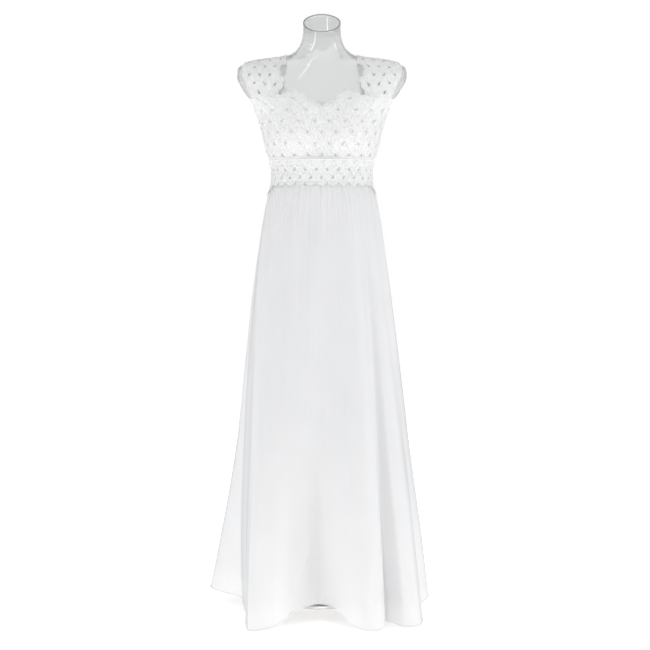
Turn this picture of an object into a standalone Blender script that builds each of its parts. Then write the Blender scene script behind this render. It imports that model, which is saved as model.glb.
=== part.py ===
"""Wedding gown with a lace bodice, worn by a clear display form on a pole stand.

Every piece is one closed solid, in metres, with +Z up. The front faces -Y, and +X is the wearer's left.
The origin is on the floor, under the middle of the garment, on the underside of the stand's base.
Angles round the body are in degrees from the centre front, growing towards the wearer's left.
"""

import math
from bisect import bisect_right
from collections import namedtuple

import bpy
from mathutils import Vector
from mathutils.geometry import delaunay_2d_cdt

# Driving sizes

SEAM_HEIGHT = 1.165
SEAM_GAP = 0.0003
BODICE_BOTTOM, SKIRT_TOP = SEAM_HEIGHT + SEAM_GAP, SEAM_HEIGHT - SEAM_GAP
CENTRE_BACK = 180.0
SIDE_SEAM = 90.0
SEAM_ANGLE = 0.08

FORM_WALL = 0.003
FRONT_COLUMNS, BACK_COLUMNS = 20, 8
NECK_CUT_SLOPE = 0.60
NECK_BASE_HEIGHT = 1.460

LINING_INNER, LINING_OUTER = 0.0012, 0.0032
OVERLAY_INNER, OVERLAY_OUTER = 0.0051, 0.0063
STRAP_INNER, STRAP_OUTER = 0.0016, 0.0028
PLACKET_INNER, PLACKET_OUTER = 0.0069, 0.0082
PLACKET_HALF_ANGLE, PLACKET_TOP = 4.5, 1.237

CHIFFON_WALL = 0.0012
LINING_WALL = 0.0010
LINING_TOP_INSET = 0.0026
LINING_INSET = 0.0120
BAND_INNER, BAND_OUTER = 0.0019, 0.0031

POLE_RADIUS, POLE_Y = 0.0125, 0.030
BASE_RADIUS, BASE_Y, BASE_THICK = 0.140, 0.090, 0.010
BASE_BEVEL = 0.0015
SOCKET_RADIUS, SOCKET_TOP_RADIUS, SOCKET_TALL = 0.026, 0.020, 0.032
FLANGE_RADIUS, FLANGE_THICK = 0.045, 0.008
ROUND_SIDES = 24

# The display form: one row for each level, from its flat bottom to the neck's rim

Section = namedtuple("Section", "height half_width front back squareness")
BODY = [
    Section(0.8000, 0.1400, 0.0900, 0.1020, 2.30),
    Section(0.8800, 0.1470, 0.0940, 0.1080, 2.30),
    Section(0.9700, 0.1320, 0.0890, 0.0920, 2.30),
    Section(1.0500, 0.1140, 0.0830, 0.0760, 2.30),
    Section(1.1100, 0.1165, 0.0870, 0.0790, 2.30),
    Section(1.1530, 0.1235, 0.0930, 0.0850, 2.30),
    Section(1.1930, 0.1380, 0.0980, 0.0910, 2.30),
    Section(1.2450, 0.1500, 0.1030, 0.0970, 2.35),
    Section(1.2860, 0.1620, 0.1040, 0.1010, 2.50),
    Section(1.3350, 0.1990, 0.0960, 0.1010, 2.90),
    Section(1.3800, 0.2190, 0.0800, 0.0900, 3.00),
    Section(1.3980, 0.2180, 0.0700, 0.0810, 2.80),
    Section(1.4090, 0.2060, 0.0640, 0.0740, 2.60),
    Section(1.4185, 0.1750, 0.0590, 0.0680, 2.40),
    Section(1.4275, 0.1080, 0.0545, 0.0630, 2.20),
    Section(1.4390, 0.0765, 0.0510, 0.0590, 2.10),
    Section(1.4600, 0.0575, 0.0480, 0.0540, 2.00),
    Section(1.4800, 0.0515, 0.0470, 0.0510, 2.00),
    Section(1.5187, 0.0480, 0.0465, 0.0480, 2.00),
]
FORM_LEVELS = [
    0.800, 0.880, 0.970, 1.050, 1.110, 1.153, 1.170, 1.185, 1.199, 1.213, 1.227, 1.241, 1.256,
    1.272, 1.288, 1.306, 1.330, 1.357, 1.380, 1.398, 1.409, 1.4185, 1.4275, 1.439, 1.460, 1.5187,
]

Bust = namedtuple("Bust", "rise across height width above below")
BUST = Bust(rise=0.030, across=0.077, height=1.232, width=0.055, above=0.080, below=0.048)

# The skirt: the plain cone it hangs as, and one row for each turn of its hem. A fold deepens down
# the skirt as the drop to the power of its growth.

SKIRT = [
    Section(0.0120, 0.2620, 0.2450, 0.2550, 2.1),
    Section(0.1680, 0.2500, 0.2300, 0.2380, 2.1),
    Section(0.3120, 0.2350, 0.2150, 0.2220, 2.1),
    Section(0.4393, 0.2210, 0.2010, 0.2080, 2.1),
    Section(0.6290, 0.2010, 0.1770, 0.1840, 2.1),
    Section(0.8068, 0.1800, 0.1520, 0.1560, 2.1),
    Section(0.9418, 0.1610, 0.1300, 0.1320, 2.15),
    Section(1.0709, 0.1400, 0.1070, 0.1030, 2.2),
    Section(1.1070, 0.1290, 0.1010, 0.0940, 2.25),
    Section(1.1380, 0.1275, 0.1020, 0.0905, 2.3),
    Section(1.1650, 0.1335, 0.1075, 0.0935, 2.3),
]

Fold = namedtuple("Fold", "top_angle hem_angle reach hem_height growth")
FOLDS = [
    Fold(-2, -2, 0.158, 0.046, 1.9),
    Fold(9, 8, 0.182, 0.045, 1.9),
    Fold(16, 13.5, 0.225, 0.030, 1.9),
    Fold(20, 16.5, 0.272, 0.015, 1.9),
    Fold(30, 24, 0.306, 0.012, 1.9),
    Fold(39, 32, 0.284, 0.013, 1.9),
    Fold(43, 35, 0.258, 0.017, 1.9),
    Fold(48, 38.5, 0.322, 0.012, 1.9),
    Fold(57, 44, 0.334, 0.012, 1.9),
    Fold(64, 51, 0.316, 0.012, 1.9),
    Fold(78, 70, 0.263, 0.020, 1.9),
    Fold(96, 92, 0.283, 0.024, 1.9),
    Fold(110, 106, 0.242, 0.020, 1.9),
    Fold(126, 122, 0.300, 0.014, 1.9),
    Fold(143, 140, 0.246, 0.018, 1.9),
    Fold(160, 158, 0.302, 0.014, 1.9),
    Fold(178, 177, 0.250, 0.018, 1.9),
    Fold(195, 195, 0.300, 0.014, 1.9),
    Fold(212, 213, 0.246, 0.018, 1.9),
    Fold(228, 231, 0.296, 0.014, 1.9),
    Fold(240, 243, 0.262, 0.018, 2.4),
    Fold(250, 252, 0.317, 0.026, 3.2),
    Fold(270, 284, 0.215, 0.030, 1.9),
    Fold(286, 307, 0.236, 0.018, 1.9),
    Fold(298, 322, 0.292, 0.013, 1.9),
    Fold(307, 329.5, 0.328, 0.012, 1.9),
    Fold(320, 336, 0.278, 0.014, 1.9),
    Fold(332, 340.5, 0.212, 0.033, 1.9),
    Fold(346, 350, 0.176, 0.045, 1.9),
    Fold(358, 358, 0.158, 0.046, 1.9),
]
SKIRT_COLUMN, LINING_COLUMN = 7, 9
SKIRT_SEAMS = (96, 178, 270)
GATHERS = 14
GATHER_DEPTH = 0.0035
GATHER_START, GATHER_FULL, GATHER_END = 0.06, 0.16, 0.60
SKIRT_RISES = [0.0, 0.07, 0.19, 0.32, 0.45, 0.58, 0.70, 0.80, 0.86, 0.905, 0.935, 0.957, 0.979, 1.0]
LINING_RISES = [0.038, 0.19, 0.38, 0.58, 0.80, 0.86, 0.905, 0.935, 0.957, 0.979, 1.0]

# Edges of the bodice, one row for each turn of the line: degrees round the body, and height

Edge = namedtuple("Edge", "angle height")
LINING_FRONT_TOP = [
    Edge(0, 1.2880), Edge(9, 1.2945), Edge(19.5, 1.3040), Edge(31, 1.3085),
    Edge(41, 1.3050), Edge(54, 1.2950), Edge(70, 1.2840), Edge(90, 1.2765),
]
LINING_BACK_TOP = [
    Edge(90, 1.2765), Edge(102, 1.2640), Edge(120, 1.2560),
    Edge(140, 1.2490), Edge(160, 1.2360), Edge(180, 1.2330),
]
LACE_NECKLINE = [
    Edge(0, 1.2946), Edge(7.8, 1.3045), Edge(12.6, 1.3180),
    Edge(18.6, 1.3335), Edge(26, 1.3255), Edge(34.8, 1.3195),
]
LACE_ARMHOLE = [Edge(61, 1.3195), Edge(66, 1.3000), Edge(76, 1.2880), Edge(89.9, 1.2795)]
LACE_BACK_ARMHOLE = [Edge(90.1, 1.2795), Edge(101, 1.2700)]
LACE_BACK_NECKLINE = [Edge(138, 1.2700), Edge(150, 1.2560), Edge(165, 1.2460), Edge(179.9, 1.2430)]
BAND_HEM = [Edge(0, 1.1085), Edge(60, 1.1085), Edge(90, 1.0900), Edge(180, 1.0900)]

# The shoulder straps: height on the form, and how far the two edges are from the middle

Strap = namedtuple("Strap", "height neck_edge arm_edge")
STRAP_FRONT = [
    Strap(1.3199, 0.1160, 0.1700), Strap(1.3450, 0.1030, 0.1840), Strap(1.3620, 0.0970, 0.1930),
    Strap(1.3780, 0.1070, 0.1995), Strap(1.3980, 0.1080, 0.2015), Strap(1.4110, 0.0930, 0.1955),
]
STRAP_BACK = [
    Strap(1.4110, 0.0950, 0.1955), Strap(1.3950, 0.1000, 0.2000), Strap(1.3700, 0.1040, 0.1980),
    Strap(1.3400, 0.1070, 0.1840), Strap(1.3100, 0.1110, 0.1680), Strap(1.2715, 0.1155, 0.1540),
]
STRAP_TOP_NECK_EDGE, STRAP_TOP_ARM_EDGE = 0.0980, 0.1920
SHOULDER_Y, SHOULDER_Z = 0.002, 1.385
STRAP_MIDDLE = 0.150
STRAP_RISE = 0.025

# The lace: how the scallops and the gaps between its flowers repeat

Repeat = namedtuple("Repeat", "across along gap_long gap_wide")
FRONT_REPEAT = Repeat(0.038, 0.028, 0.0100, 0.0062)
BACK_REPEAT = Repeat(0.052, 0.040, 0.0100, 0.0062)
STRAP_REPEAT = Repeat(0.026, 0.0235, 0.0125, 0.0076)
BAND_FRONT_REPEAT = Repeat(0.028, 0.020, 0.0090, 0.0058)
BAND_BACK_REPEAT = Repeat(0.044, 0.020, 0.0090, 0.0058)
GAP_MARGIN = 0.0036

FLAT_RADIUS = 0.150
BAND_FLAT_RADIUS = 0.130
LACE_SPACING = 0.018
NECK_SCALLOP, NECK_SCALLOP_DEPTH = 0.017, 0.0040
BAND_SCALLOP, BAND_SCALLOP_DEPTH = 0.028, 0.0080


# Curves and sections


class Smooth:
    """A curve through (place, value) rows that never swings past them."""

    def __init__(self, places, values):
        self.places, self.values = list(places), list(values)
        steps = [b - a for a, b in zip(self.places, self.places[1:])]
        rises = [(b - a) / s for a, b, s in zip(self.values, self.values[1:], steps)]
        slopes = [rises[0]]
        for i in range(1, len(rises)):
            before, after = rises[i - 1], rises[i]
            if before * after <= 0:
                slopes.append(0.0)
                continue
            w1, w2 = 2 * steps[i] + steps[i - 1], steps[i] + 2 * steps[i - 1]
            slopes.append((w1 + w2) / (w1 / before + w2 / after))
        self.slopes = slopes + [rises[-1]]

    def __call__(self, place):
        places, values = self.places, self.values
        place = min(max(place, places[0]), places[-1])
        i = min(bisect_right(places, place), len(places) - 1) - 1
        step = places[i + 1] - places[i]
        t = (place - places[i]) / step
        start, end = self.slopes[i] * step, self.slopes[i + 1] * step
        return (
            (2 * t**3 - 3 * t**2 + 1) * values[i]
            + (t**3 - 2 * t**2 + t) * start
            + (3 * t**2 - 2 * t**3) * values[i + 1]
            + (t**3 - t**2) * end
        )


def section_curves(rows):
    heights = [row.height for row in rows]
    columns = ("half_width", "front", "back", "squareness")
    return [Smooth(heights, [getattr(row, name) for row in rows]) for name in columns]


BODY_CURVES = section_curves(BODY)
SKIRT_CURVES = section_curves(SKIRT)


def even(low, high, count):
    """count values, evenly spaced from low to high."""
    return [low + (high - low) * i / (count - 1) for i in range(count)]


def ease(share):
    """0 to 1 with flat ends."""
    share = min(max(share, 0.0), 1.0)
    return share * share * (3 - 2 * share)


def oval(angle, half_width, front, back, squareness):
    """(x, y, how far the direction is from the side, 0 to 1) on a rounded oval."""
    s, c = math.sin(math.radians(angle)), math.cos(math.radians(angle))
    k = (abs(s) ** squareness + abs(c) ** squareness) ** (-1 / squareness)
    depth = front if c > 0 else back
    return half_width * s * k, -depth * c * k, abs(c) * k


def bust_rise(x, height):
    """How far the two cups stand out from the chest."""
    fade = BUST.above if height > BUST.height else BUST.below
    tall = math.exp(-(((height - BUST.height) / fade) ** 2))
    left = math.exp(-(((x - BUST.across) / BUST.width) ** 2))
    right = math.exp(-(((x + BUST.across) / BUST.width) ** 2))
    return BUST.rise * tall * (left + right)


# The surfaces that every piece is made from


def body_point(angle, height):
    """A point on the display form's outside."""
    half_width, front, back, squareness = (curve(height) for curve in BODY_CURVES)
    x, y, share = oval(angle, half_width, front, back, squareness)
    if y < 0:
        y -= bust_rise(x, height) * share ** (squareness / 2)
    tilt = NECK_CUT_SLOPE * ease((height - NECK_BASE_HEIGHT) / (BODY[-1].height - NECK_BASE_HEIGHT))
    return Vector((x, y, height + tilt * y))


def body_depths(x, height):
    """(front y, back y) of the form at x and height, or None outside it."""
    half_width, front, back, squareness = (curve(height) for curve in BODY_CURVES)
    reach = 1 - abs(x / half_width) ** squareness
    if reach <= 0:
        return None
    share = reach ** (1 / squareness)
    return -front * share - bust_rise(x, height) * math.sqrt(reach), back * share


def shoulder_ray(x, turn):
    """Where a ray from inside the shoulder leaves the form. turn is 0 straight up, and negative in front."""
    across, up = math.sin(turn), math.cos(turn)
    low, high = 0.0, 0.25
    for _ in range(26):
        middle = (low + high) / 2
        y, z = SHOULDER_Y + middle * across, SHOULDER_Z + middle * up
        depths = body_depths(x, z)
        if depths and depths[0] < y < depths[1]:
            low = middle
        else:
            high = middle
    return Vector((x, SHOULDER_Y + low * across, SHOULDER_Z + low * up))


def shoulder_lengths():
    """Two curves along the middle of a strap: its length to a turn, and the turn at a length."""
    turns = [math.radians(a) for a in range(-150, 163, 4)]
    points = [shoulder_ray(STRAP_MIDDLE, turn) for turn in turns]
    lengths = [0.0]
    for a, b in zip(points, points[1:]):
        lengths.append(lengths[-1] + (b - a).length)
    middle = Smooth(turns, lengths)(0.0)
    lengths = [length - middle for length in lengths]
    return Smooth(turns, lengths), Smooth(lengths, turns)


LENGTH_AT, TURN_AT = shoulder_lengths()


def shoulder_point(x, along):
    """A point on the shoulder, at x and that far along the strap from its top, negative in front."""
    return shoulder_ray(x, TURN_AT(along))


def on_strap(x, height, side):
    """The strap's own flat place, (x, along), of a point on the form at x and height."""
    y = body_depths(x, height)[side]
    return x, LENGTH_AT(math.atan2(y - SHOULDER_Y, height - SHOULDER_Z))


STRAP_ENDS = (
    on_strap(STRAP_MIDDLE, STRAP_FRONT[0].height, 0)[1],
    on_strap(STRAP_MIDDLE, STRAP_BACK[-1].height, 1)[1],
)


def fold_curves():
    """Each column of the fold table as a curve over the angle at the seam, with no step where it closes."""
    before = FOLDS[-2]._replace(top_angle=FOLDS[-2].top_angle - 360, hem_angle=FOLDS[-2].hem_angle - 360)
    after = FOLDS[1]._replace(top_angle=FOLDS[1].top_angle + 360, hem_angle=FOLDS[1].hem_angle + 360)
    rows = [before] + FOLDS + [after]
    tops = [row.top_angle for row in rows]
    return [Smooth(tops, [row[column] for row in rows]) for column in range(1, len(Fold._fields))]


HEM_ANGLE, REACH, HEM_HEIGHT, GROWTH = fold_curves()


def fold_at(angle):
    """(angle at the hem, reach there, height of the hem, growth) of the thread that starts at angle."""
    first = FOLDS[0].top_angle
    inside = (angle - first) % 360 + first
    return HEM_ANGLE(inside) + angle - inside, REACH(inside), HEM_HEIGHT(inside), GROWTH(inside)


def skirt_oval(angle, height):
    return oval(angle, *(curve(height) for curve in SKIRT_CURVES))[:2]


def skirt_point(angle, rise):
    """The chiffon's outside. rise is 0 at the hem and 1 at the seam, where angle is measured."""
    drop = 1 - rise
    hem_angle, reach, hem_height, growth = fold_at(angle)
    height = SKIRT_TOP + (hem_height - SKIRT_TOP) * drop
    x, y = skirt_oval(angle + (hem_angle - angle) * drop, height)
    plain = math.hypot(*skirt_oval(hem_angle, SKIRT[0].height))
    folded = 1 + (reach / plain - 1) * max(drop, 0.0) ** growth
    rising = ease((drop - GATHER_START) / (GATHER_FULL - GATHER_START))
    fading = 1 - ease((drop - GATHER_FULL) / (GATHER_END - GATHER_FULL))
    wave = 0.5 + 0.5 * math.cos(math.radians(angle * GATHERS))
    outwards = 1 + GATHER_DEPTH * rising * fading * wave / math.hypot(x, y)
    return Vector((x * folded * outwards, y * folded * outwards, height))


def lining_point(angle, rise):
    """The lining's outside, set in from the chiffon towards the pole."""
    point = skirt_point(angle, rise)
    inset = LINING_TOP_INSET + (LINING_INSET - LINING_TOP_INSET) * ease((1 - rise) / GATHER_FULL)
    share = 1 - inset / math.hypot(point.x, point.y)
    return Vector((point.x * share, point.y * share, point.z))


def band_point(along, height):
    """The skirt's top, under the lace band. along is measured round the body."""
    angle = math.degrees(along / BAND_FLAT_RADIUS)
    drop = (SKIRT_TOP - height) / (SKIRT_TOP - fold_at(angle)[2])
    return skirt_point(angle, 1 - drop)


def bodice_point(along, height):
    """The body under the lace overlay. along is measured round the body."""
    return body_point(math.degrees(along / FLAT_RADIUS), height)


def moved_out(surface, u, v, distance, step):
    """The surface's point, moved along its normal."""
    du = surface(u + step[0], v) - surface(u - step[0], v)
    dv = surface(u, v + step[1]) - surface(u, v - step[1])
    return surface(u, v) + du.cross(dv).normalized() * distance


def moved_level(surface, u, v, distance, step):
    """The same, but at the surface's own height, so that an edge that is cut level stays level."""
    normal = moved_out(surface, u, v, 1.0, step) - surface(u, v)
    level = Vector((normal.x, normal.y, 0))
    return surface(u, v) + level.normalized() * distance / max(level.length, 0.8)


def moved_strap(surface, u, v, distance, step):
    """A strap lies on the shoulder, and rises at its two ends to meet the edge of the overlay."""
    ending = 1 - ease(min(v - STRAP_ENDS[0], STRAP_ENDS[1] - v) / STRAP_RISE)
    distance += (OVERLAY_INNER - STRAP_INNER) * ending
    plain = moved_out(surface, u, v, distance, step)
    return plain.lerp(moved_level(surface, u, v, distance, step), ending)


ANGLE_STEP = (0.5, 0.002)
FLAT_STEP = (0.001, 0.001)


# Turning surfaces into closed walls


def add_object(name, points, faces, material):
    mesh = bpy.data.meshes.new(name)
    mesh.from_pydata([tuple(p) for p in points], [], faces)
    mesh.validate()
    mesh.materials.append(material)
    mesh.shade_smooth()
    mesh.set_sharp_from_angle(angle=math.radians(50))
    obj = bpy.data.objects.new(name, mesh)
    bpy.context.scene.collection.objects.link(obj)
    return obj


def closed_wall(name, outside, inside, triangles, material):
    """A wall between two copies of the same triangles, with every free edge closed."""
    count = len(outside)
    edges = {}
    for a, b, c in triangles:
        for edge in ((a, b), (b, c), (c, a)):
            edges[edge] = True
    faces = list(triangles) + [(c + count, b + count, a + count) for a, b, c in triangles]
    for a, b in edges:
        if (b, a) not in edges:
            faces.append((b, a, a + count))
            faces.append((b, a + count, b + count))
    return add_object(name, outside + inside, faces, material)


def grid_triangles(columns, rows, closed=False):
    """Triangles of a grid whose points run along each row, turned to face out."""
    faces = []
    for j in range(rows - 1):
        for i in range(columns if closed else columns - 1):
            k = (i + 1) % columns
            a, b = j * columns + i, j * columns + k
            c, d = (j + 1) * columns + k, (j + 1) * columns + i
            faces += [(a, b, c), (a, c, d)]
    return faces


def grid_wall(name, surface, places, inner, outer, material):
    """places is a list of rows of (angle, height or rise), from the lower edge up."""
    flat = [place for row in places for place in row]
    outside = [moved_level(surface, u, v, outer, ANGLE_STEP) for u, v in flat]
    inside = [moved_level(surface, u, v, inner, ANGLE_STEP) for u, v in flat]
    triangles = grid_triangles(len(places[0]), len(places))
    return closed_wall(name, outside, inside, triangles, material)


def inside_loop(point, loop):
    x, y = point
    found = False
    for (x1, y1), (x2, y2) in zip(loop, loop[1:] + loop[:1]):
        if (y1 > y) != (y2 > y) and x < (x2 - x1) * (y - y1) / (y2 - y1) + x1:
            found = not found
    return found


def loop_distance(point, loop):
    """How far a point is from the nearest side of a loop."""
    best = math.inf
    p = Vector(point)
    for start, end in zip(loop, loop[1:] + loop[:1]):
        a, side = Vector(start), Vector(end) - Vector(start)
        t = min(max((p - a).dot(side) / max(side.length_squared, 1e-18), 0.0), 1.0)
        best = min(best, (a + side * t - p).length)
    return best


def spaced(points, spacing):
    """The same line with a point at least every spacing."""
    line = [points[0]]
    for a, b in zip(points, points[1:]):
        count = max(1, math.ceil(math.dist(a, b) / spacing - 1e-6))
        for i in range(1, count + 1):
            t = i / count
            line.append((a[0] + (b[0] - a[0]) * t, a[1] + (b[1] - a[1]) * t))
    return line


def scalloped(points, pitch, depth):
    """The line, with every second point moved to its right to make scallops."""
    lengths = [0.0]
    for a, b in zip(points, points[1:]):
        lengths.append(lengths[-1] + math.dist(a, b))
    count = 2 * max(1, round(lengths[-1] / pitch))
    xs = Smooth(lengths, [p[0] for p in points])
    ys = Smooth(lengths, [p[1] for p in points])
    line = []
    for i in range(count + 1):
        at = lengths[-1] * i / count
        before, after = max(at - 0.001, 0.0), min(at + 0.001, lengths[-1])
        side = Vector((ys(after) - ys(before), xs(before) - xs(after))).normalized()
        shift = depth if i % 2 else 0.0
        line.append((xs(at) + side.x * shift, ys(at) + side.y * shift))
    return line


def lace_gap(centre, lean, long, wide):
    """A gap between flowers: a long drop with a blunt and a sharp end."""
    shape = [(0.6, 0.0), (-0.1, 0.5), (-0.4, 0.0), (-0.1, -0.5)]
    cos, sin = math.cos(lean), math.sin(lean)
    return [
        (
            centre[0] + long * x * cos - wide * y * sin,
            centre[1] + long * x * sin + wide * y * cos,
        )
        for x, y in shape
    ]


def lace_gaps(outline, repeat):
    """Gaps on a staggered repeat, wherever one fits inside the outline."""
    xs, ys = [p[0] for p in outline], [p[1] for p in outline]
    gaps = []
    for j in range(math.floor(min(ys) / repeat.along), math.ceil(max(ys) / repeat.along) + 1):
        for i in range(math.floor(min(xs) / repeat.across) - 1, math.ceil(max(xs) / repeat.across) + 1):
            centre = ((i + 0.5 * (j % 2)) * repeat.across, j * repeat.along)
            lean = math.radians(90 + (35 if (i + j) % 2 else -35))
            gap = lace_gap(centre, lean, repeat.gap_long, repeat.gap_wide)
            if all(inside_loop(p, outline) and loop_distance(p, outline) > GAP_MARGIN for p in gap):
                gaps.append(gap)
    return gaps


def lace_wall(name, surface, outline, repeat, wall, material, move=moved_level):
    """A wall inside a flat outline, with the gaps of its repeat cut through."""
    gaps = lace_gaps(outline, repeat)
    loops = [outline] + gaps
    points, edges = [], []
    for loop in loops:
        first = len(points)
        points += loop
        edges += [(first + i, first + (i + 1) % len(loop)) for i in range(len(loop))]
    xs, ys = [p[0] for p in outline], [p[1] for p in outline]
    for j in range(int((max(ys) - min(ys)) / LACE_SPACING) + 1):
        for i in range(int((max(xs) - min(xs)) / LACE_SPACING) + 1):
            shift = 0.5 * (j % 2)
            p = (min(xs) + (i + shift) * LACE_SPACING, min(ys) + (j + 0.5) * LACE_SPACING)
            far = all(loop_distance(p, loop) > 0.4 * LACE_SPACING for loop in loops)
            if far and inside_loop(p, outline) and not any(inside_loop(p, gap) for gap in gaps):
                points.append(p)
    flat = [Vector(p) for p in points]
    made, _, triangles, *_ = delaunay_2d_cdt(flat, edges, [], 0, 1e-7)
    kept = []
    for triangle in triangles:
        middle = sum((made[i] for i in triangle), Vector((0, 0))) / 3
        if inside_loop(middle, outline) and not any(inside_loop(middle, gap) for gap in gaps):
            kept.append(tuple(triangle))
    inside, outside = ([move(surface, p.x, p.y, out, FLAT_STEP) for p in made] for out in wall)
    return closed_wall(name, outside, inside, kept, material)


# The display form and its stand


def make_material(name, colour, roughness, metallic=0.0, alpha=1.0):
    material = bpy.data.materials.new(name)
    material.use_nodes = True
    shader = material.node_tree.nodes["Principled BSDF"]
    shader.inputs["Base Color"].default_value = (*colour, 1.0)
    shader.inputs["Roughness"].default_value = roughness
    shader.inputs["Metallic"].default_value = metallic
    shader.inputs["Alpha"].default_value = alpha
    return material


def make_form(material):
    """A hollow torso, open at the slanted neck and closed by a flat bottom."""
    angles = even(-SIDE_SEAM, SIDE_SEAM, FRONT_COLUMNS + 1)
    angles += even(SIDE_SEAM, 360 - SIDE_SEAM, BACK_COLUMNS + 1)[1:-1]
    columns = len(angles)
    outside, inside = [], []
    for level in FORM_LEVELS:
        for angle in angles:
            wall = moved_out(body_point, angle, level, -FORM_WALL, ANGLE_STEP)
            point = body_point(angle, level)
            if level == FORM_LEVELS[0]:
                wall.z = level + FORM_WALL
            if level == FORM_LEVELS[-1]:
                wall.z = point.z
            outside.append(point)
            inside.append(wall)
    count = len(outside)
    triangles = grid_triangles(columns, len(FORM_LEVELS), closed=True)
    faces = list(triangles) + [(c + count, b + count, a + count) for a, b, c in triangles]
    rim = count - columns
    for i in range(columns):
        k = (i + 1) % columns
        faces += [(rim + i, rim + k, rim + k + count), (rim + i, rim + k + count, rim + i + count)]
    bottom = FORM_LEVELS[0]
    points = outside + inside + [Vector((0, 0, bottom)), Vector((0, 0, bottom + FORM_WALL))]
    for i in range(columns):
        k = (i + 1) % columns
        faces += [(k, i, 2 * count), (count + i, count + k, 2 * count + 1)]
    return add_object("dress_form", points, faces, material)


def ring_points(radius, y, height):
    turns = [math.tau * i / ROUND_SIDES for i in range(ROUND_SIDES)]
    return [Vector((radius * math.cos(t), y + radius * math.sin(t), height)) for t in turns]


def turned(name, y, profile, material):
    """A solid turned round an upright axis at y. The profile runs outside first, from the bottom up."""
    points, faces = [], []
    for radius, height in profile:
        points += ring_points(radius, y, height)
    rings = len(profile)
    for j in range(rings):
        lower, upper = j * ROUND_SIDES, (j + 1) % rings * ROUND_SIDES
        for i in range(ROUND_SIDES):
            k = (i + 1) % ROUND_SIDES
            faces.append((lower + i, lower + k, upper + k, upper + i))
    return add_object(name, points, faces, material)


def disc(name, y, profile, material):
    """A solid disc or rod: a profile from the bottom up, with flat ends."""
    points, faces = [], []
    for radius, height in profile:
        points += ring_points(radius, y, height)
    for j in range(len(profile) - 1):
        for i in range(ROUND_SIDES):
            k = (i + 1) % ROUND_SIDES
            a, b = j * ROUND_SIDES, (j + 1) * ROUND_SIDES
            faces.append((a + i, a + k, b + k, b + i))
    faces.append(tuple(reversed(range(ROUND_SIDES))))
    faces.append(tuple(range((len(profile) - 1) * ROUND_SIDES, len(profile) * ROUND_SIDES)))
    return add_object(name, points, faces, material)


def make_stand(metal):
    """A round plate, a pole in a socket, and a flange under the form."""
    top_radius = BASE_RADIUS - BASE_BEVEL
    plate = [(BASE_RADIUS, 0.0), (BASE_RADIUS, BASE_THICK - BASE_BEVEL), (top_radius, BASE_THICK)]
    disc("base_plate", BASE_Y, plate, metal)
    pole_low = BASE_THICK + SEAM_GAP
    flange_low = BODY[0].height - SEAM_GAP - FLANGE_THICK
    disc("pole", POLE_Y, [(POLE_RADIUS, pole_low), (POLE_RADIUS, flange_low - SEAM_GAP)], metal)
    bore = POLE_RADIUS + SEAM_GAP
    socket_top = pole_low + SOCKET_TALL
    socket = [(SOCKET_RADIUS, pole_low), (SOCKET_TOP_RADIUS, socket_top)]
    socket += [(bore, socket_top), (bore, pole_low)]
    turned("base_socket", POLE_Y, socket, metal)
    flange = [(FLANGE_RADIUS, flange_low), (FLANGE_RADIUS, flange_low + FLANGE_THICK)]
    disc("form_flange", POLE_Y, flange, metal)


# The dress


def bodice_panel(name, low, high, top, columns, rows, material):
    """A lined bodice panel between two seams, from the waist seam up to its top edge."""
    curve = Smooth([row.angle for row in top], [row.height for row in top])
    places = []
    for share in even(0, 1, rows):
        row = []
        for angle in even(low + SEAM_ANGLE, high - SEAM_ANGLE, columns):
            height = BODICE_BOTTOM + (curve(abs(angle)) - BODICE_BOTTOM) * share
            row.append((angle, height))
        places.append(row)
    return grid_wall(name, body_point, places, LINING_INNER, LINING_OUTER, material)


def make_bodice(satin):
    columns, rows = FRONT_COLUMNS + 1, 10
    bodice_panel("bodice_front", -SIDE_SEAM, SIDE_SEAM, LINING_FRONT_TOP, columns, rows, satin)
    columns, rows = 13, 6
    for name in ("bodice_back_left", "bodice_back_right"):
        piece = bodice_panel(name, SIDE_SEAM, CENTRE_BACK, LINING_BACK_TOP, columns, rows, satin)
    mirror_x(piece)


def mirror_x(obj):
    """Turns a left piece into the right one, with its faces still out."""
    mesh = obj.data
    for vertex in mesh.vertices:
        vertex.co.x = -vertex.co.x
    mesh.flip_normals()


def make_placket(satin):
    """The strip over the closed fastening down the centre back."""
    columns, rows = 4, 6
    angles = even(CENTRE_BACK - PLACKET_HALF_ANGLE, CENTRE_BACK + PLACKET_HALF_ANGLE, columns)
    places = [[(angle, height) for angle in angles] for height in even(BODICE_BOTTOM, PLACKET_TOP, rows)]
    grid_wall("back_placket", body_point, places, PLACKET_INNER, PLACKET_OUTER, satin)


def flat_edge(rows):
    """An edge table as a line on the flat lace."""
    return [(math.radians(row.angle) * FLAT_RADIUS, row.height) for row in rows]


def joined(*lines):
    """One closed outline from lines that each start where the last one ends."""
    return [point for line in lines for point in line[:-1]]


def front_overlay_outline():
    """From the middle of the neckline to the wearer's left side, across the waist and back up."""
    neckline = scalloped(flat_edge(LACE_NECKLINE), NECK_SCALLOP, -NECK_SCALLOP_DEPTH)
    armhole = flat_edge(LACE_ARMHOLE)
    low_side = (armhole[-1][0], BODICE_BOTTOM)
    half = neckline + spaced([neckline[-1]] + armhole + [low_side], LACE_SPACING)[1:]
    other = [(-x, y) for x, y in reversed(half)]
    return joined(half, spaced([low_side, other[0]], LACE_SPACING), other)


def back_overlay_outline():
    armhole, neckline = flat_edge(LACE_BACK_ARMHOLE), flat_edge(LACE_BACK_NECKLINE)
    scallops = scalloped(neckline, NECK_SCALLOP, -NECK_SCALLOP_DEPTH)
    corners = [scallops[-1], (scallops[-1][0], BODICE_BOTTOM), (armhole[0][0], BODICE_BOTTOM), armhole[0]]
    return joined(
        spaced(armhole + scallops[:1], LACE_SPACING),
        scallops,
        spaced(corners, LACE_SPACING),
    )


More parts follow.
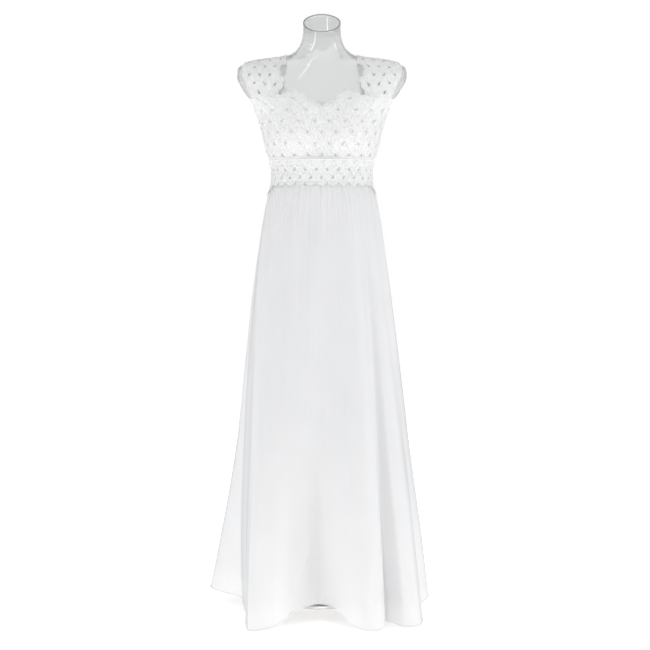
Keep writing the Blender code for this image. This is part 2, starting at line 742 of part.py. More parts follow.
def make_overlay(lace):
    """The lace over the bodice: one front, and two backs that meet at the placket."""
    wall = (OVERLAY_INNER, OVERLAY_OUTER)
    lace_wall("lace_front", bodice_point, front_overlay_outline()[::-1], FRONT_REPEAT, wall, lace)
    for name in ("lace_back_left", "lace_back_right"):
        piece = lace_wall(name, bodice_point, back_overlay_outline()[::-1], BACK_REPEAT, wall, lace)
    mirror_x(piece)


def band_outline(low, high):
    """From one seam along the scallops to the other, and back along the waist."""
    angles = even(low + SEAM_ANGLE, high - SEAM_ANGLE, 25)
    hem = Smooth([row.angle for row in BAND_HEM], [row.height for row in BAND_HEM])
    edge = [(math.radians(angle) * BAND_FLAT_RADIUS, hem(abs(angle))) for angle in angles]
    edge = scalloped(edge, BAND_SCALLOP, BAND_SCALLOP_DEPTH)
    corners = [edge[-1], (edge[-1][0], SKIRT_TOP), (edge[0][0], SKIRT_TOP), edge[0]]
    return joined(edge, spaced(corners, LACE_SPACING))


def make_band(lace):
    """The scalloped lace band that hangs from the waist seam over the skirt."""
    wall = (BAND_INNER, BAND_OUTER)
    outline = band_outline(-SIDE_SEAM, SIDE_SEAM)
    lace_wall("lace_band_front", band_point, outline, BAND_FRONT_REPEAT, wall, lace)
    outline = band_outline(SIDE_SEAM, CENTRE_BACK)
    for name in ("lace_band_back_left", "lace_band_back_right"):
        piece = lace_wall(name, band_point, outline, BAND_BACK_REPEAT, wall, lace)
    mirror_x(piece)


def strap_edge(column, top):
    """One long edge of the strap, from its front end over the shoulder to its back end."""
    front = [on_strap(getattr(row, column), row.height, 0) for row in STRAP_FRONT]
    back = [on_strap(getattr(row, column), row.height, 1) for row in STRAP_BACK]
    return front + [(top, 0.0)] + back


def strap_end(row, side):
    """The strap's level end, from its neck edge to its arm edge."""
    return [on_strap(x, row.height, side) for x in even(row.neck_edge, row.arm_edge, 7)]


def make_straps(lace):
    """Two wide shoulder straps, each from the front overlay over the form to the back."""
    neck = scalloped(strap_edge("neck_edge", STRAP_TOP_NECK_EDGE), NECK_SCALLOP, -NECK_SCALLOP_DEPTH)
    arm = spaced(strap_edge("arm_edge", STRAP_TOP_ARM_EDGE), LACE_SPACING)
    outline = joined(neck, strap_end(STRAP_BACK[-1], 1), arm[::-1], strap_end(STRAP_FRONT[0], 0)[::-1])
    wall = (STRAP_INNER, STRAP_OUTER)
    for name in ("strap_left", "strap_right"):
        piece = lace_wall(name, shoulder_point, outline[::-1], STRAP_REPEAT, wall, lace, moved_strap)
    mirror_x(piece)


def fold_columns(first, last, width):
    """Places round the skirt: every row of the fold table, and even steps of about width between."""
    columns = []
    for a, b in zip(FOLDS[first:last], FOLDS[first + 1 : last + 1]):
        steps = max(1, round((b.top_angle - a.top_angle) / width))
        columns += even(a.top_angle, b.top_angle, steps + 1)[:-1]
    return columns + [FOLDS[last].top_angle]


def skirt_panel(name, surface, columns, rises, wall, material):
    columns = [columns[0] + SEAM_ANGLE] + columns[1:-1] + [columns[-1] - SEAM_ANGLE]
    places = [[(angle, rise) for angle in columns] for rise in rises]
    return grid_wall(name, surface, places, -wall, 0.0, material)


def panel_columns(width):
    """The columns of the front and of the two backs. Each seam is on a crest or in a hollow."""
    tops = [fold.top_angle for fold in FOLDS]
    left_side, back, right_side = (tops.index(angle) for angle in SKIRT_SEAMS)
    right_front = fold_columns(right_side, len(FOLDS) - 1, width)
    return {
        "front": [angle - 360 for angle in right_front[:-1]] + fold_columns(0, left_side, width),
        "back_left": fold_columns(left_side, back, width),
        "back_right": fold_columns(back, right_side, width),
    }


def make_skirt(chiffon, satin):
    """Front and two backs of the chiffon, and the same of the lining inside it."""
    for part, columns in panel_columns(SKIRT_COLUMN).items():
        skirt_panel("skirt_" + part, skirt_point, columns, SKIRT_RISES, CHIFFON_WALL, chiffon)
    for part, columns in panel_columns(LINING_COLUMN).items():
        skirt_panel("lining_" + part, lining_point, columns, LINING_RISES, LINING_WALL, satin)


def main():
    for obj in list(bpy.data.objects):
        bpy.data.objects.remove(obj)
    clear = make_material("clear_plastic", (0.86, 0.88, 0.89), 0.06, alpha=0.35)
    metal = make_material("brushed_steel", (0.62, 0.63, 0.64), 0.32, metallic=1.0)
    satin = make_material("lining_satin", (0.86, 0.86, 0.87), 0.45)
    chiffon = make_material("chiffon", (0.88, 0.88, 0.89), 0.75)
    lace = make_material("lace", (0.90, 0.90, 0.91), 0.80)
    make_form(clear)
    make_stand(metal)
    make_bodice(satin)
    make_placket(satin)
    make_overlay(lace)
    make_band(lace)
    make_straps(lace)
    make_skirt(chiffon, satin)


main()
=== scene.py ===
"""Wedding gown with a lace bodice on a clear display form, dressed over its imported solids.

Metres, +Z up. The front faces -Y and +X is the wearer's left. Angles round the body are in degrees from
the centre front. Flat places on cloth are in metres too, and every piece is made from the same surfaces
as its solid.
"""

import math
from collections import namedtuple

import bpy
import numpy as np
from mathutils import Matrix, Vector
from mathutils.geometry import delaunay_2d_cdt


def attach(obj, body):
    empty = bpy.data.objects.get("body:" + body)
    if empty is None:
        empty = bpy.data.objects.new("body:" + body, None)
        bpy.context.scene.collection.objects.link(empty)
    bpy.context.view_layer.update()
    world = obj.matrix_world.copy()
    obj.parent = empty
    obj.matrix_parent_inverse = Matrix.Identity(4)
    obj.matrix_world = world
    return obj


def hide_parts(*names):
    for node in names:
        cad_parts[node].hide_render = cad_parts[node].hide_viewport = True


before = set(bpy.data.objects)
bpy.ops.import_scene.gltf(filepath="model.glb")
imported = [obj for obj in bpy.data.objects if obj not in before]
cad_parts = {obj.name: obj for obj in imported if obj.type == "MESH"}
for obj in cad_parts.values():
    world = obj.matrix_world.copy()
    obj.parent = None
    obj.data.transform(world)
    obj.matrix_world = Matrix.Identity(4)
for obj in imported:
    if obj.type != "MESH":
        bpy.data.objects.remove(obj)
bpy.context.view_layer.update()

# Driving sizes, as in the solids

SEAM_HEIGHT, SEAM_GAP = 1.165, 0.0003
BODICE_BOTTOM, SKIRT_TOP = SEAM_HEIGHT + SEAM_GAP, SEAM_HEIGHT - SEAM_GAP
SIDE_SEAM, CENTRE_BACK, SEAM_ANGLE = 90.0, 180.0, 0.08
FORM_WALL, RIM_RADIUS = 0.003, 0.0017
NECK_CUT_SLOPE, NECK_BASE_HEIGHT = 0.60, 1.460
LINING_INNER, LINING_OUTER = 0.0012, 0.0032
OVERLAY_INNER, OVERLAY_OUTER = 0.0051, 0.0063
STRAP_INNER, STRAP_OUTER = 0.0016, 0.0028
PLACKET_INNER, PLACKET_OUTER = 0.0069, 0.0082
PLACKET_HALF_ANGLE, PLACKET_TOP = 4.5, 1.237
LINING_TOP_INSET, LINING_INSET = 0.0026, 0.0120
BAND_INNER, BAND_OUTER = 0.0019, 0.0031
POLE_RADIUS, POLE_Y = 0.0125, 0.030
BASE_RADIUS, BASE_Y, BASE_THICK = 0.140, 0.090, 0.010
SOCKET_RADIUS, SOCKET_TOP_RADIUS, SOCKET_TALL = 0.026, 0.020, 0.032
FLANGE_RADIUS, FLANGE_THICK = 0.045, 0.008

Section = namedtuple("Section", "height half_width front back squareness")
BODY = [
    Section(0.8000, 0.1400, 0.0900, 0.1020, 2.30),
    Section(0.8800, 0.1470, 0.0940, 0.1080, 2.30),
    Section(0.9700, 0.1320, 0.0890, 0.0920, 2.30),
    Section(1.0500, 0.1140, 0.0830, 0.0760, 2.30),
    Section(1.1100, 0.1165, 0.0870, 0.0790, 2.30),
    Section(1.1530, 0.1235, 0.0930, 0.0850, 2.30),
    Section(1.1930, 0.1380, 0.0980, 0.0910, 2.30),
    Section(1.2450, 0.1500, 0.1030, 0.0970, 2.35),
    Section(1.2860, 0.1620, 0.1040, 0.1010, 2.50),
    Section(1.3350, 0.1990, 0.0960, 0.1010, 2.90),
    Section(1.3800, 0.2190, 0.0800, 0.0900, 3.00),
    Section(1.3980, 0.2180, 0.0700, 0.0810, 2.80),
    Section(1.4090, 0.2060, 0.0640, 0.0740, 2.60),
    Section(1.4185, 0.1750, 0.0590, 0.0680, 2.40),
    Section(1.4275, 0.1080, 0.0545, 0.0630, 2.20),
    Section(1.4390, 0.0765, 0.0510, 0.0590, 2.10),
    Section(1.4600, 0.0575, 0.0480, 0.0540, 2.00),
    Section(1.4800, 0.0515, 0.0470, 0.0510, 2.00),
    Section(1.5187, 0.0480, 0.0465, 0.0480, 2.00),
]
Bust = namedtuple("Bust", "rise across height width above below")
BUST = Bust(rise=0.030, across=0.077, height=1.232, width=0.055, above=0.080, below=0.048)

SKIRT = [
    Section(0.0120, 0.2620, 0.2450, 0.2550, 2.1),
    Section(0.1680, 0.2500, 0.2300, 0.2380, 2.1),
    Section(0.3120, 0.2350, 0.2150, 0.2220, 2.1),
    Section(0.4393, 0.2210, 0.2010, 0.2080, 2.1),
    Section(0.6290, 0.2010, 0.1770, 0.1840, 2.1),
    Section(0.8068, 0.1800, 0.1520, 0.1560, 2.1),
    Section(0.9418, 0.1610, 0.1300, 0.1320, 2.15),
    Section(1.0709, 0.1400, 0.1070, 0.1030, 2.2),
    Section(1.1070, 0.1290, 0.1010, 0.0940, 2.25),
    Section(1.1380, 0.1275, 0.1020, 0.0905, 2.3),
    Section(1.1650, 0.1335, 0.1075, 0.0935, 2.3),
]
Fold = namedtuple("Fold", "top_angle hem_angle reach hem_height growth")
FOLDS = [
    Fold(-2, -2, 0.158, 0.046, 1.9),
    Fold(9, 8, 0.182, 0.045, 1.9),
    Fold(16, 13.5, 0.225, 0.030, 1.9),
    Fold(20, 16.5, 0.272, 0.015, 1.9),
    Fold(30, 24, 0.306, 0.012, 1.9),
    Fold(39, 32, 0.284, 0.013, 1.9),
    Fold(43, 35, 0.258, 0.017, 1.9),
    Fold(48, 38.5, 0.322, 0.012, 1.9),
    Fold(57, 44, 0.334, 0.012, 1.9),
    Fold(64, 51, 0.316, 0.012, 1.9),
    Fold(78, 70, 0.263, 0.020, 1.9),
    Fold(96, 92, 0.283, 0.024, 1.9),
    Fold(110, 106, 0.242, 0.020, 1.9),
    Fold(126, 122, 0.300, 0.014, 1.9),
    Fold(143, 140, 0.246, 0.018, 1.9),
    Fold(160, 158, 0.302, 0.014, 1.9),
    Fold(178, 177, 0.250, 0.018, 1.9),
    Fold(195, 195, 0.300, 0.014, 1.9),
    Fold(212, 213, 0.246, 0.018, 1.9),
    Fold(228, 231, 0.296, 0.014, 1.9),
    Fold(240, 243, 0.262, 0.018, 2.4),
    Fold(250, 252, 0.317, 0.026, 3.2),
    Fold(270, 284, 0.215, 0.030, 1.9),
    Fold(286, 307, 0.236, 0.018, 1.9),
    Fold(298, 322, 0.292, 0.013, 1.9),
    Fold(307, 329.5, 0.328, 0.012, 1.9),
    Fold(320, 336, 0.278, 0.014, 1.9),
    Fold(332, 340.5, 0.212, 0.033, 1.9),
    Fold(346, 350, 0.176, 0.045, 1.9),
    Fold(358, 358, 0.158, 0.046, 1.9),
]
GATHERS, GATHER_DEPTH = 14, 0.0035
GATHER_START, GATHER_FULL, GATHER_END = 0.06, 0.16, 0.60
LINING_HEM_RISE = 0.038
SkirtPart = namedtuple("SkirtPart", "name low high flat area lining_flat lining_area")
SKIRT_PARTS = [
    SkirtPart("front", -90, 96, (1.05, 1.17), 0.86, (0.97, 1.125), 0.70),
    SkirtPart("back_left", 96, 178, (0.48, 1.17), 0.433, (0.44, 1.125), 0.338),
    SkirtPart("back_right", 178, 270, (0.62, 1.17), 0.538, (0.56, 1.125), 0.409),
]

Crease = namedtuple("Crease", "top_angle foot_angle top foot width depth")
CREASES = [
    Crease(-7, -27, 0.150, 0.045, 1.3, -0.0016),
    Crease(-8, -18, 0.180, 0.020, 4.0, 0.0015),
    Crease(-52, -55, 0.93, 0.45, 6.0, 0.0020),
    Crease(-38, -36, 0.80, 0.20, 4.5, -0.0030),
    Crease(-24, -20, 0.95, 0.50, 3.0, -0.0025),
    Crease(-10, -12, 0.90, 0.35, 3.6, 0.0022),
    Crease(3, 2, 0.96, 0.30, 4.6, -0.0024),
    Crease(14, 15, 0.85, 0.30, 4.0, 0.0030),
    Crease(27, 27, 0.93, 0.40, 4.2, 0.0026),
    Crease(36, 38, 0.95, 0.20, 4.2, -0.0026),
    Crease(52, 55, 0.80, 0.35, 6.0, 0.0024),
    Crease(66, 68, 0.90, 0.25, 6.0, -0.0024),
    Crease(80, 79, 0.70, 0.15, 6.0, 0.0022),
    Crease(104, 103, 0.92, 0.30, 3.6, -0.0030),
    Crease(118, 119, 0.85, 0.20, 4.4, 0.0030),
    Crease(134, 133, 0.94, 0.45, 3.4, -0.0028),
    Crease(152, 153, 0.80, 0.15, 3.8, 0.0032),
    Crease(169, 168, 0.90, 0.35, 3.2, -0.0026),
    Crease(186, 187, 0.86, 0.20, 4.0, 0.0030),
    Crease(204, 203, 0.93, 0.40, 3.6, -0.0030),
    Crease(221, 222, 0.78, 0.18, 4.2, 0.0028),
    Crease(238, 236, 0.90, 0.30, 3.4, -0.0030),
    Crease(262, 264, 0.88, 0.22, 4.0, 0.0030),
    Crease(281, 282, 0.80, 0.15, 6.0, -0.0022),
    Crease(294, 296, 0.90, 0.35, 6.0, 0.0020),
]
TUCK_DEPTH, TUCK_FULL, TUCK_FADE = 0.0007, 0.05, 0.22

Edge = namedtuple("Edge", "angle height")
LINING_FRONT_TOP = [
    Edge(0, 1.2880), Edge(9, 1.2945), Edge(19.5, 1.3040), Edge(31, 1.3085),
    Edge(41, 1.3050), Edge(54, 1.2950), Edge(70, 1.2840), Edge(90, 1.2765),
]
LINING_BACK_TOP = [
    Edge(90, 1.2765), Edge(102, 1.2640), Edge(120, 1.2560),
    Edge(140, 1.2490), Edge(160, 1.2360), Edge(180, 1.2330),
]
LACE_NECKLINE = [
    Edge(0, 1.2946), Edge(7.8, 1.3045), Edge(12.6, 1.3180),
    Edge(18.6, 1.3335), Edge(26, 1.3255), Edge(34.8, 1.3195),
]
LACE_ARMHOLE = [Edge(61, 1.3195), Edge(66, 1.3000), Edge(76, 1.2880), Edge(89.9, 1.2795)]
LACE_BACK_ARMHOLE = [Edge(90.1, 1.2795), Edge(101, 1.2700)]
LACE_BACK_NECKLINE = [Edge(138, 1.2700), Edge(150, 1.2560), Edge(165, 1.2460), Edge(179.9, 1.2430)]
BAND_HEM = [Edge(0, 1.1085), Edge(60, 1.1085), Edge(90, 1.0900), Edge(180, 1.0900)]

Strap = namedtuple("Strap", "height neck_edge arm_edge")
STRAP_FRONT = [
    Strap(1.3199, 0.1160, 0.1700), Strap(1.3450, 0.1030, 0.1840), Strap(1.3620, 0.0970, 0.1930),
    Strap(1.3780, 0.1070, 0.1995), Strap(1.3980, 0.1080, 0.2015), Strap(1.4110, 0.0930, 0.1955),
]
STRAP_BACK = [
    Strap(1.4110, 0.0950, 0.1955), Strap(1.3950, 0.1000, 0.2000), Strap(1.3700, 0.1040, 0.1980),
    Strap(1.3400, 0.1070, 0.1840), Strap(1.3100, 0.1110, 0.1680), Strap(1.2715, 0.1155, 0.1540),
]
STRAP_TOP_NECK_EDGE, STRAP_TOP_ARM_EDGE = 0.0980, 0.1920
SHOULDER_Y, SHOULDER_Z = 0.002, 1.385
STRAP_MIDDLE, STRAP_RISE = 0.150, 0.025

Repeat = namedtuple("Repeat", "across along gap_long gap_wide")
FRONT_REPEAT = Repeat(0.038, 0.028, 0.0100, 0.0062)
BACK_REPEAT = Repeat(0.052, 0.040, 0.0100, 0.0062)
STRAP_REPEAT = Repeat(0.026, 0.0235, 0.0125, 0.0076)
BAND_FRONT_REPEAT = Repeat(0.028, 0.020, 0.0090, 0.0058)
BAND_BACK_REPEAT = Repeat(0.044, 0.020, 0.0090, 0.0058)
GAP_MARGIN = 0.0036
FLAT_RADIUS, BAND_FLAT_RADIUS = 0.150, 0.130
NECK_SCALLOP, NECK_SCALLOP_DEPTH = 0.017, 0.0040
BAND_SCALLOP, BAND_SCALLOP_DEPTH = 0.028, 0.0080

# Sizes of what only the scene has

NET_SPACING = 0.006
OUTLINE_STEP = 0.005
EDGE_STEPS = 8
CORD_RADIUS = 0.0006
LASH_PITCH, LASH_LENGTH, LASH_RADIUS, LASH_TIP = 0.0016, 0.0055, 0.00022, 0.00005
LACE_SEED = 7
FLOWER_RADIUS, BUD_RADIUS, LEAF_LENGTH, LEAF_WIDTH = 0.0105, 0.0022, 0.0125, 0.0062
MOTIF_LIFT = 0.0005
WIDE_REPEAT, WIDE_SPOTS = 0.040, [(0.25, 0.0), (0.75, 0.0), (0.0, 0.5), (0.5, 0.5)]
TALL_REPEAT = 0.030
STEM_STEPS, STEM_SWAY = 16, 0.10
BORDER_PITCH, BORDER_LEAF = 0.0052, 0.0062
WAIST_CORD, WAIST_RISE, WAIST_ROWS = 0.0015, 0.0075, 5
FORM_COLUMNS, FORM_ROWS = 132, 112
CHIFFON_COLUMNS, CHIFFON_ROWS = 250, 190
LINING_COLUMNS, LINING_ROWS = 140, 100
SKIRT_FLAT_RADIUS, SKIRT_FLAT_LENGTH = 0.28, SKIRT_TOP - 0.02
HEM_RADIUS, LINING_HEM_RADIUS = 0.0016, 0.0012
TOP_ROLL, TOP_STITCH_DROP, PLACKET_STITCH_INSET = 0.0015, 0.006, 0.002
STITCH_PITCH, STITCH_LENGTH, STITCH_RADIUS = 0.0040, 0.0026, 0.0003
# Painted shade: the dark grey that cloth colours turn to where a surface turns away from view, and the facing
# at which that starts.
PAINTED_EDGE_SHADE, PAINTED_EDGE_SHADE_START = (0.30, 0.31, 0.33, 1), 0.68
PLASTIC_IOR, PLASTIC_COAT_IOR, PLASTIC_EDGE_START = 2.2, 1.8, 0.60
THICK_NECK_LOW, THICK_NECK_HIGH, THICK_NECK_COVER, PLASTIC_EDGE_COVER = 1.482, 1.512, 0.16, 0.95
SKY_LIGHT, FLOOR_GLOW, FLOOR_RADIUS, FLOOR_SIDES = 0.47, 0.60, 14, 64
CLEAR_LAYERS = 24
WHITE, WARM = (1.0, 1.0, 1.0), (1.0, 0.96, 0.90)
CAMERA_PLACE, CAMERA_DOWN, CAMERA_LENS, CAMERA_SENSOR = (0.008, -3.5, 1.0), 4.2231, 74.63, 36

LIGHT_COLUMNS = "name place aim energy size colour spread shine_only"
Light = namedtuple("Light", LIGHT_COLUMNS, defaults=(WHITE, 180, False))
LIGHTS = [
    Light("top light", (0.2, -1.2, 3.2), (0, 0, 1.2), 18, (2.0, 2.0)),
    Light("left light", (-2.4, -1.15, 0.45), (0, 0, 0.35), 16.5, (0.9, 1.2)),
    Light("right light", (2.4, -1.15, 0.45), (0, 0, 0.35), 18.5, (0.9, 1.2)),
    Light("back light left", (-0.9, 3.0, 1.3), (0, 0, 0.9), 12, (1.0, 1.8)),
    Light("back light right", (0.9, 3.0, 1.3), (0, 0, 0.9), 12, (1.0, 1.8)),
    Light("low front light", (0, -1.8, 0.10), (0, 0, 0.06), 0.32, (1.4, 0.16), WARM, 36),
    Light("neck shine left", (-1.06, -1.46, 2.20), (0, 0, 1.47), 4.0, (0.28, 1.4), shine_only=True),
    Light("neck shine right", (1.22, -0.65, 2.45), (0, 0, 1.45), 2.0, (0.32, 0.60), shine_only=True),
    Light("chest shine", (-0.10, -0.95, 3.00), (0, -0.08, 1.40), 0.07, (0.016, 0.40), shine_only=True),
]


# Curves and surfaces, for whole arrays of places


class Smooth:
    """A curve through (place, value) rows that never swings past them."""

    def __init__(self, places, values):
        self.places, self.values = np.array(places, float), np.array(values, float)
        steps = np.diff(self.places)
        rises = np.diff(self.values) / steps
        before, after = rises[:-1], rises[1:]
        turning = before * after <= 0
        w1, w2 = 2 * steps[1:] + steps[:-1], steps[1:] + 2 * steps[:-1]
        before, after = np.where(turning, 1, before), np.where(turning, 1, after)
        inner = np.where(turning, 0, (w1 + w2) / (w1 / before + w2 / after))
        self.slopes = np.concatenate([rises[:1], inner, rises[-1:]])

    def __call__(self, place):
        places, values = self.places, self.values
        place = np.clip(place, places[0], places[-1])
        i = np.clip(np.searchsorted(places, place, side="right") - 1, 0, len(places) - 2)
        step = places[i + 1] - places[i]
        t = (place - places[i]) / step
        start, end = self.slopes[i] * step, self.slopes[i + 1] * step
        return (
            (2 * t**3 - 3 * t**2 + 1) * values[i]
            + (t**3 - 2 * t**2 + t) * start
            + (3 * t**2 - 2 * t**3) * values[i + 1]
            + (t**3 - t**2) * end
        )


def section_curves(rows):
    """A smooth curve over the height for each column of a section table."""
    heights = [row.height for row in rows]
    columns = ("half_width", "front", "back", "squareness")
    return [Smooth(heights, [getattr(row, name) for row in rows]) for name in columns]


BODY_CURVES = section_curves(BODY)
SKIRT_CURVES = section_curves(SKIRT)


def ease(share):
    """0 to 1 with flat ends."""
    share = np.clip(share, 0.0, 1.0)
    return share * share * (3 - 2 * share)


def oval(angle, half_width, front, back, squareness):
    """(x, y, how far the direction is from the side, 0 to 1) on a rounded oval."""
    s, c = np.sin(np.radians(angle)), np.cos(np.radians(angle))
    k = (np.abs(s) ** squareness + np.abs(c) ** squareness) ** (-1 / squareness)
    depth = np.where(c > 0, front, back)
    return half_width * s * k, -depth * c * k, np.abs(c) * k


def bust_rise(x, height):
    """How far the two cups stand out from the chest."""
    fade = np.where(height > BUST.height, BUST.above, BUST.below)
    tall = np.exp(-(((height - BUST.height) / fade) ** 2))
    left = np.exp(-(((x - BUST.across) / BUST.width) ** 2))
    right = np.exp(-(((x + BUST.across) / BUST.width) ** 2))
    return BUST.rise * tall * (left + right)


def body_place(angle, height):
    """Points on the display form's outside."""
    angle, height = np.broadcast_arrays(np.asarray(angle, float), np.asarray(height, float))
    half_width, front, back, squareness = (curve(height) for curve in BODY_CURVES)
    x, y, share = oval(angle, half_width, front, back, squareness)
    y = np.where(y < 0, y - bust_rise(x, height) * share ** (squareness / 2), y)
    cut = (height - NECK_BASE_HEIGHT) / (BODY[-1].height - NECK_BASE_HEIGHT)
    return np.stack([x, y, height + NECK_CUT_SLOPE * ease(cut) * y], -1)


def body_depths(x, height):
    """(inside the form or not, front y, back y) at x and height."""
    half_width, front, back, squareness = (curve(height) for curve in BODY_CURVES)
    reach = 1 - np.abs(x / half_width) ** squareness
    found = np.maximum(reach, 1e-12)
    share = found ** (1 / squareness)
    return reach > 0, -front * share - bust_rise(x, height) * np.sqrt(found), back * share


def shoulder_ray(x, turn):
    """Where rays from inside the shoulder leave the form. A turn is 0 straight up, and negative in front."""
    x, turn = np.broadcast_arrays(np.asarray(x, float), np.asarray(turn, float))
    across, up = np.sin(turn), np.cos(turn)
    low, high = np.zeros(x.shape), np.full(x.shape, 0.25)
    for _ in range(26):
        middle = (low + high) / 2
        y, z = SHOULDER_Y + middle * across, SHOULDER_Z + middle * up
        found, front, back = body_depths(x, z)
        inside = found & (front < y) & (y < back)
        low, high = np.where(inside, middle, low), np.where(inside, high, middle)
    return np.stack([x, SHOULDER_Y + low * across, SHOULDER_Z + low * up], -1)


def shoulder_lengths():
    """Two curves along the middle of a strap: its length to a turn, and the turn at a length."""
    turns = np.radians(np.arange(-150, 163, 4))
    points = shoulder_ray(STRAP_MIDDLE, turns)
    lengths = np.concatenate([[0], np.cumsum(np.linalg.norm(np.diff(points, axis=0), axis=1))])
    lengths = lengths - Smooth(turns, lengths)(0.0)
    return Smooth(turns, lengths), Smooth(lengths, turns)


LENGTH_AT, TURN_AT = shoulder_lengths()


def shoulder_place(x, along):
    """Points on the shoulder, at x and that far along the strap from its top, negative in front."""
    return shoulder_ray(x, TURN_AT(along))


def on_strap(x, height, side):
    """The strap's own flat place, (x, along), of a point on the form at x and height."""
    y = body_depths(np.array(x), np.array(height))[1 + side]
    return float(x), float(LENGTH_AT(math.atan2(float(y) - SHOULDER_Y, height - SHOULDER_Z)))


STRAP_ENDS = (
    on_strap(STRAP_MIDDLE, STRAP_FRONT[0].height, 0)[1],
    on_strap(STRAP_MIDDLE, STRAP_BACK[-1].height, 1)[1],
)


def fold_curves():
    """Each column of the fold table as a curve over the angle at the seam, with no step where it closes."""
    before = FOLDS[-2]._replace(top_angle=FOLDS[-2].top_angle - 360, hem_angle=FOLDS[-2].hem_angle - 360)
    after = FOLDS[1]._replace(top_angle=FOLDS[1].top_angle + 360, hem_angle=FOLDS[1].hem_angle + 360)
    rows = [before] + FOLDS + [after]
    tops = [row.top_angle for row in rows]
    return [Smooth(tops, [row[column] for row in rows]) for column in range(1, len(Fold._fields))]


HEM_ANGLE, REACH, HEM_HEIGHT, GROWTH = fold_curves()


def fold_at(angle):
    """(angle at the hem, reach there, height of the hem, growth) of the threads that start at angle."""
    first = FOLDS[0].top_angle
    inside = (angle - first) % 360 + first
    return HEM_ANGLE(inside) + angle - inside, REACH(inside), HEM_HEIGHT(inside), GROWTH(inside)


def skirt_oval(angle, height):
    """(x, y) on the skirt's unfolded oval."""
    return oval(angle, *(curve(height) for curve in SKIRT_CURVES))[:2]


def skirt_place(angle, rise):
    """The chiffon's outside. rise is 0 at the hem and 1 at the seam, where angle is measured."""
    angle, rise = np.broadcast_arrays(np.asarray(angle, float), np.asarray(rise, float))
    drop = 1 - rise
    hem_angle, reach, hem_height, growth = fold_at(angle)
    height = SKIRT_TOP + (hem_height - SKIRT_TOP) * drop
    x, y = skirt_oval(angle + (hem_angle - angle) * drop, height)
    plain = np.hypot(*skirt_oval(hem_angle, np.full(angle.shape, SKIRT[0].height)))
    folded = 1 + (reach / plain - 1) * np.maximum(drop, 0.0) ** growth
    rising = ease((drop - GATHER_START) / (GATHER_FULL - GATHER_START))
    fading = 1 - ease((drop - GATHER_FULL) / (GATHER_END - GATHER_FULL))
    wave = 0.5 + 0.5 * np.cos(np.radians(angle * GATHERS))
    outwards = 1 + GATHER_DEPTH * rising * fading * wave / np.hypot(x, y)
    return np.stack([x * folded * outwards, y * folded * outwards, height], -1)


def creased_place(angle, rise):
    """The chiffon with its fine gathers under the waist, and its soft creases."""
    angle, rise = np.broadcast_arrays(np.asarray(angle, float), np.asarray(rise, float))
    points = skirt_place(angle, rise)
    drop = 1 - rise
    turn = np.radians(angle)
    tucks = np.sin(61 * turn) + 0.7 * np.sin(97 * turn + 1.3) + 0.5 * np.sin(43 * turn + 0.4)
    fading = ease(drop / TUCK_FULL) * (1 - ease((drop - TUCK_FULL) / TUCK_FADE))
    out = TUCK_DEPTH * tucks * fading
    for row in CREASES:
        along = (rise - row.foot) / (row.top - row.foot)
        middle = row.foot_angle + (row.top_angle - row.foot_angle) * along
        across = ((angle - middle + 180) % 360 - 180) / row.width
        out = out + row.depth * np.exp(-(across**2)) * np.sin(math.pi * np.clip(along, 0, 1)) ** 0.7
    return set_in(points, -out)


def set_in(points, inset):
    """The points, moved level towards the pole."""
    share = 1 - inset / np.hypot(points[..., 0], points[..., 1])
    return np.stack([points[..., 0] * share, points[..., 1] * share, points[..., 2]], -1)


def lining_place(angle, rise):
    """The lining's outside, set in from the chiffon towards the pole."""
    inset = LINING_TOP_INSET + (LINING_INSET - LINING_TOP_INSET) * ease((1 - rise) / GATHER_FULL)
    return set_in(skirt_place(angle, rise), inset)


def band_place(along, height):
    """The skirt's top, under the lace band. along is measured round the body."""
    angle = np.degrees(along / BAND_FLAT_RADIUS)
    drop = (SKIRT_TOP - height) / (SKIRT_TOP - fold_at(angle)[2])
    return skirt_place(angle, 1 - drop)


def bodice_place(along, height):
    """The body under the lace overlay. along is measured round the body."""
    return body_place(np.degrees(along / FLAT_RADIUS), height)


ANGLE_STEP, FLAT_STEP = (0.5, 0.002), (0.001, 0.001)


def normals(surface, u, v, step):
    """Unit normals of a surface, from its points a step to each side."""
    du = surface(u + step[0], v) - surface(u - step[0], v)
    dv = surface(u, v + step[1]) - surface(u, v - step[1])
    normal = np.cross(du, dv)
    return normal / np.linalg.norm(normal, axis=-1, keepdims=True)


def moved_out(surface, u, v, distance, step):
    """The surface's points, moved along their normals."""
    return surface(u, v) + normals(surface, u, v, step) * np.asarray(distance)[..., None]


def moved_level(surface, u, v, distance, step):
    """The same, but at the surface's own height, so that an edge that is cut level stays level."""
    level = normals(surface, u, v, step) * np.array([1, 1, 0])
    length = np.linalg.norm(level, axis=-1, keepdims=True)
    return surface(u, v) + level / length * np.asarray(distance)[..., None] / np.maximum(length, 0.8)


def moved_strap(surface, u, v, distance, step):
    """A strap lies on the shoulder, and rises at its two ends to meet the edge of the overlay."""
    ending = 1 - ease(np.minimum(v - STRAP_ENDS[0], STRAP_ENDS[1] - v) / STRAP_RISE)
    distance = distance + (OVERLAY_INNER - STRAP_INNER) * ending
    plain = moved_out(surface, u, v, distance, step)
    level = moved_level(surface, u, v, distance, step)
    return plain + (level - plain) * ending[..., None]


# Meshes


def add_mesh(name, points, faces, material, uv=None):
    """A smooth piece. uv has one flat place, in metres, for each point."""
    mesh = bpy.data.meshes.new(name)
    mesh.from_pydata(np.reshape(points, (-1, 3)).tolist(), [], faces)
    mesh.materials.append(material)
    mesh.shade_smooth()
    if uv is not None:
        layer = mesh.uv_layers.new(name="flat")
        corners = np.empty(len(mesh.loops), np.int32)
        mesh.loops.foreach_get("vertex_index", corners)
        layer.data.foreach_set("uv", np.reshape(uv, (-1, 2))[corners].astype(np.float32).ravel())
    obj = bpy.data.objects.new(name, mesh)
    bpy.context.scene.collection.objects.link(obj)
    return obj


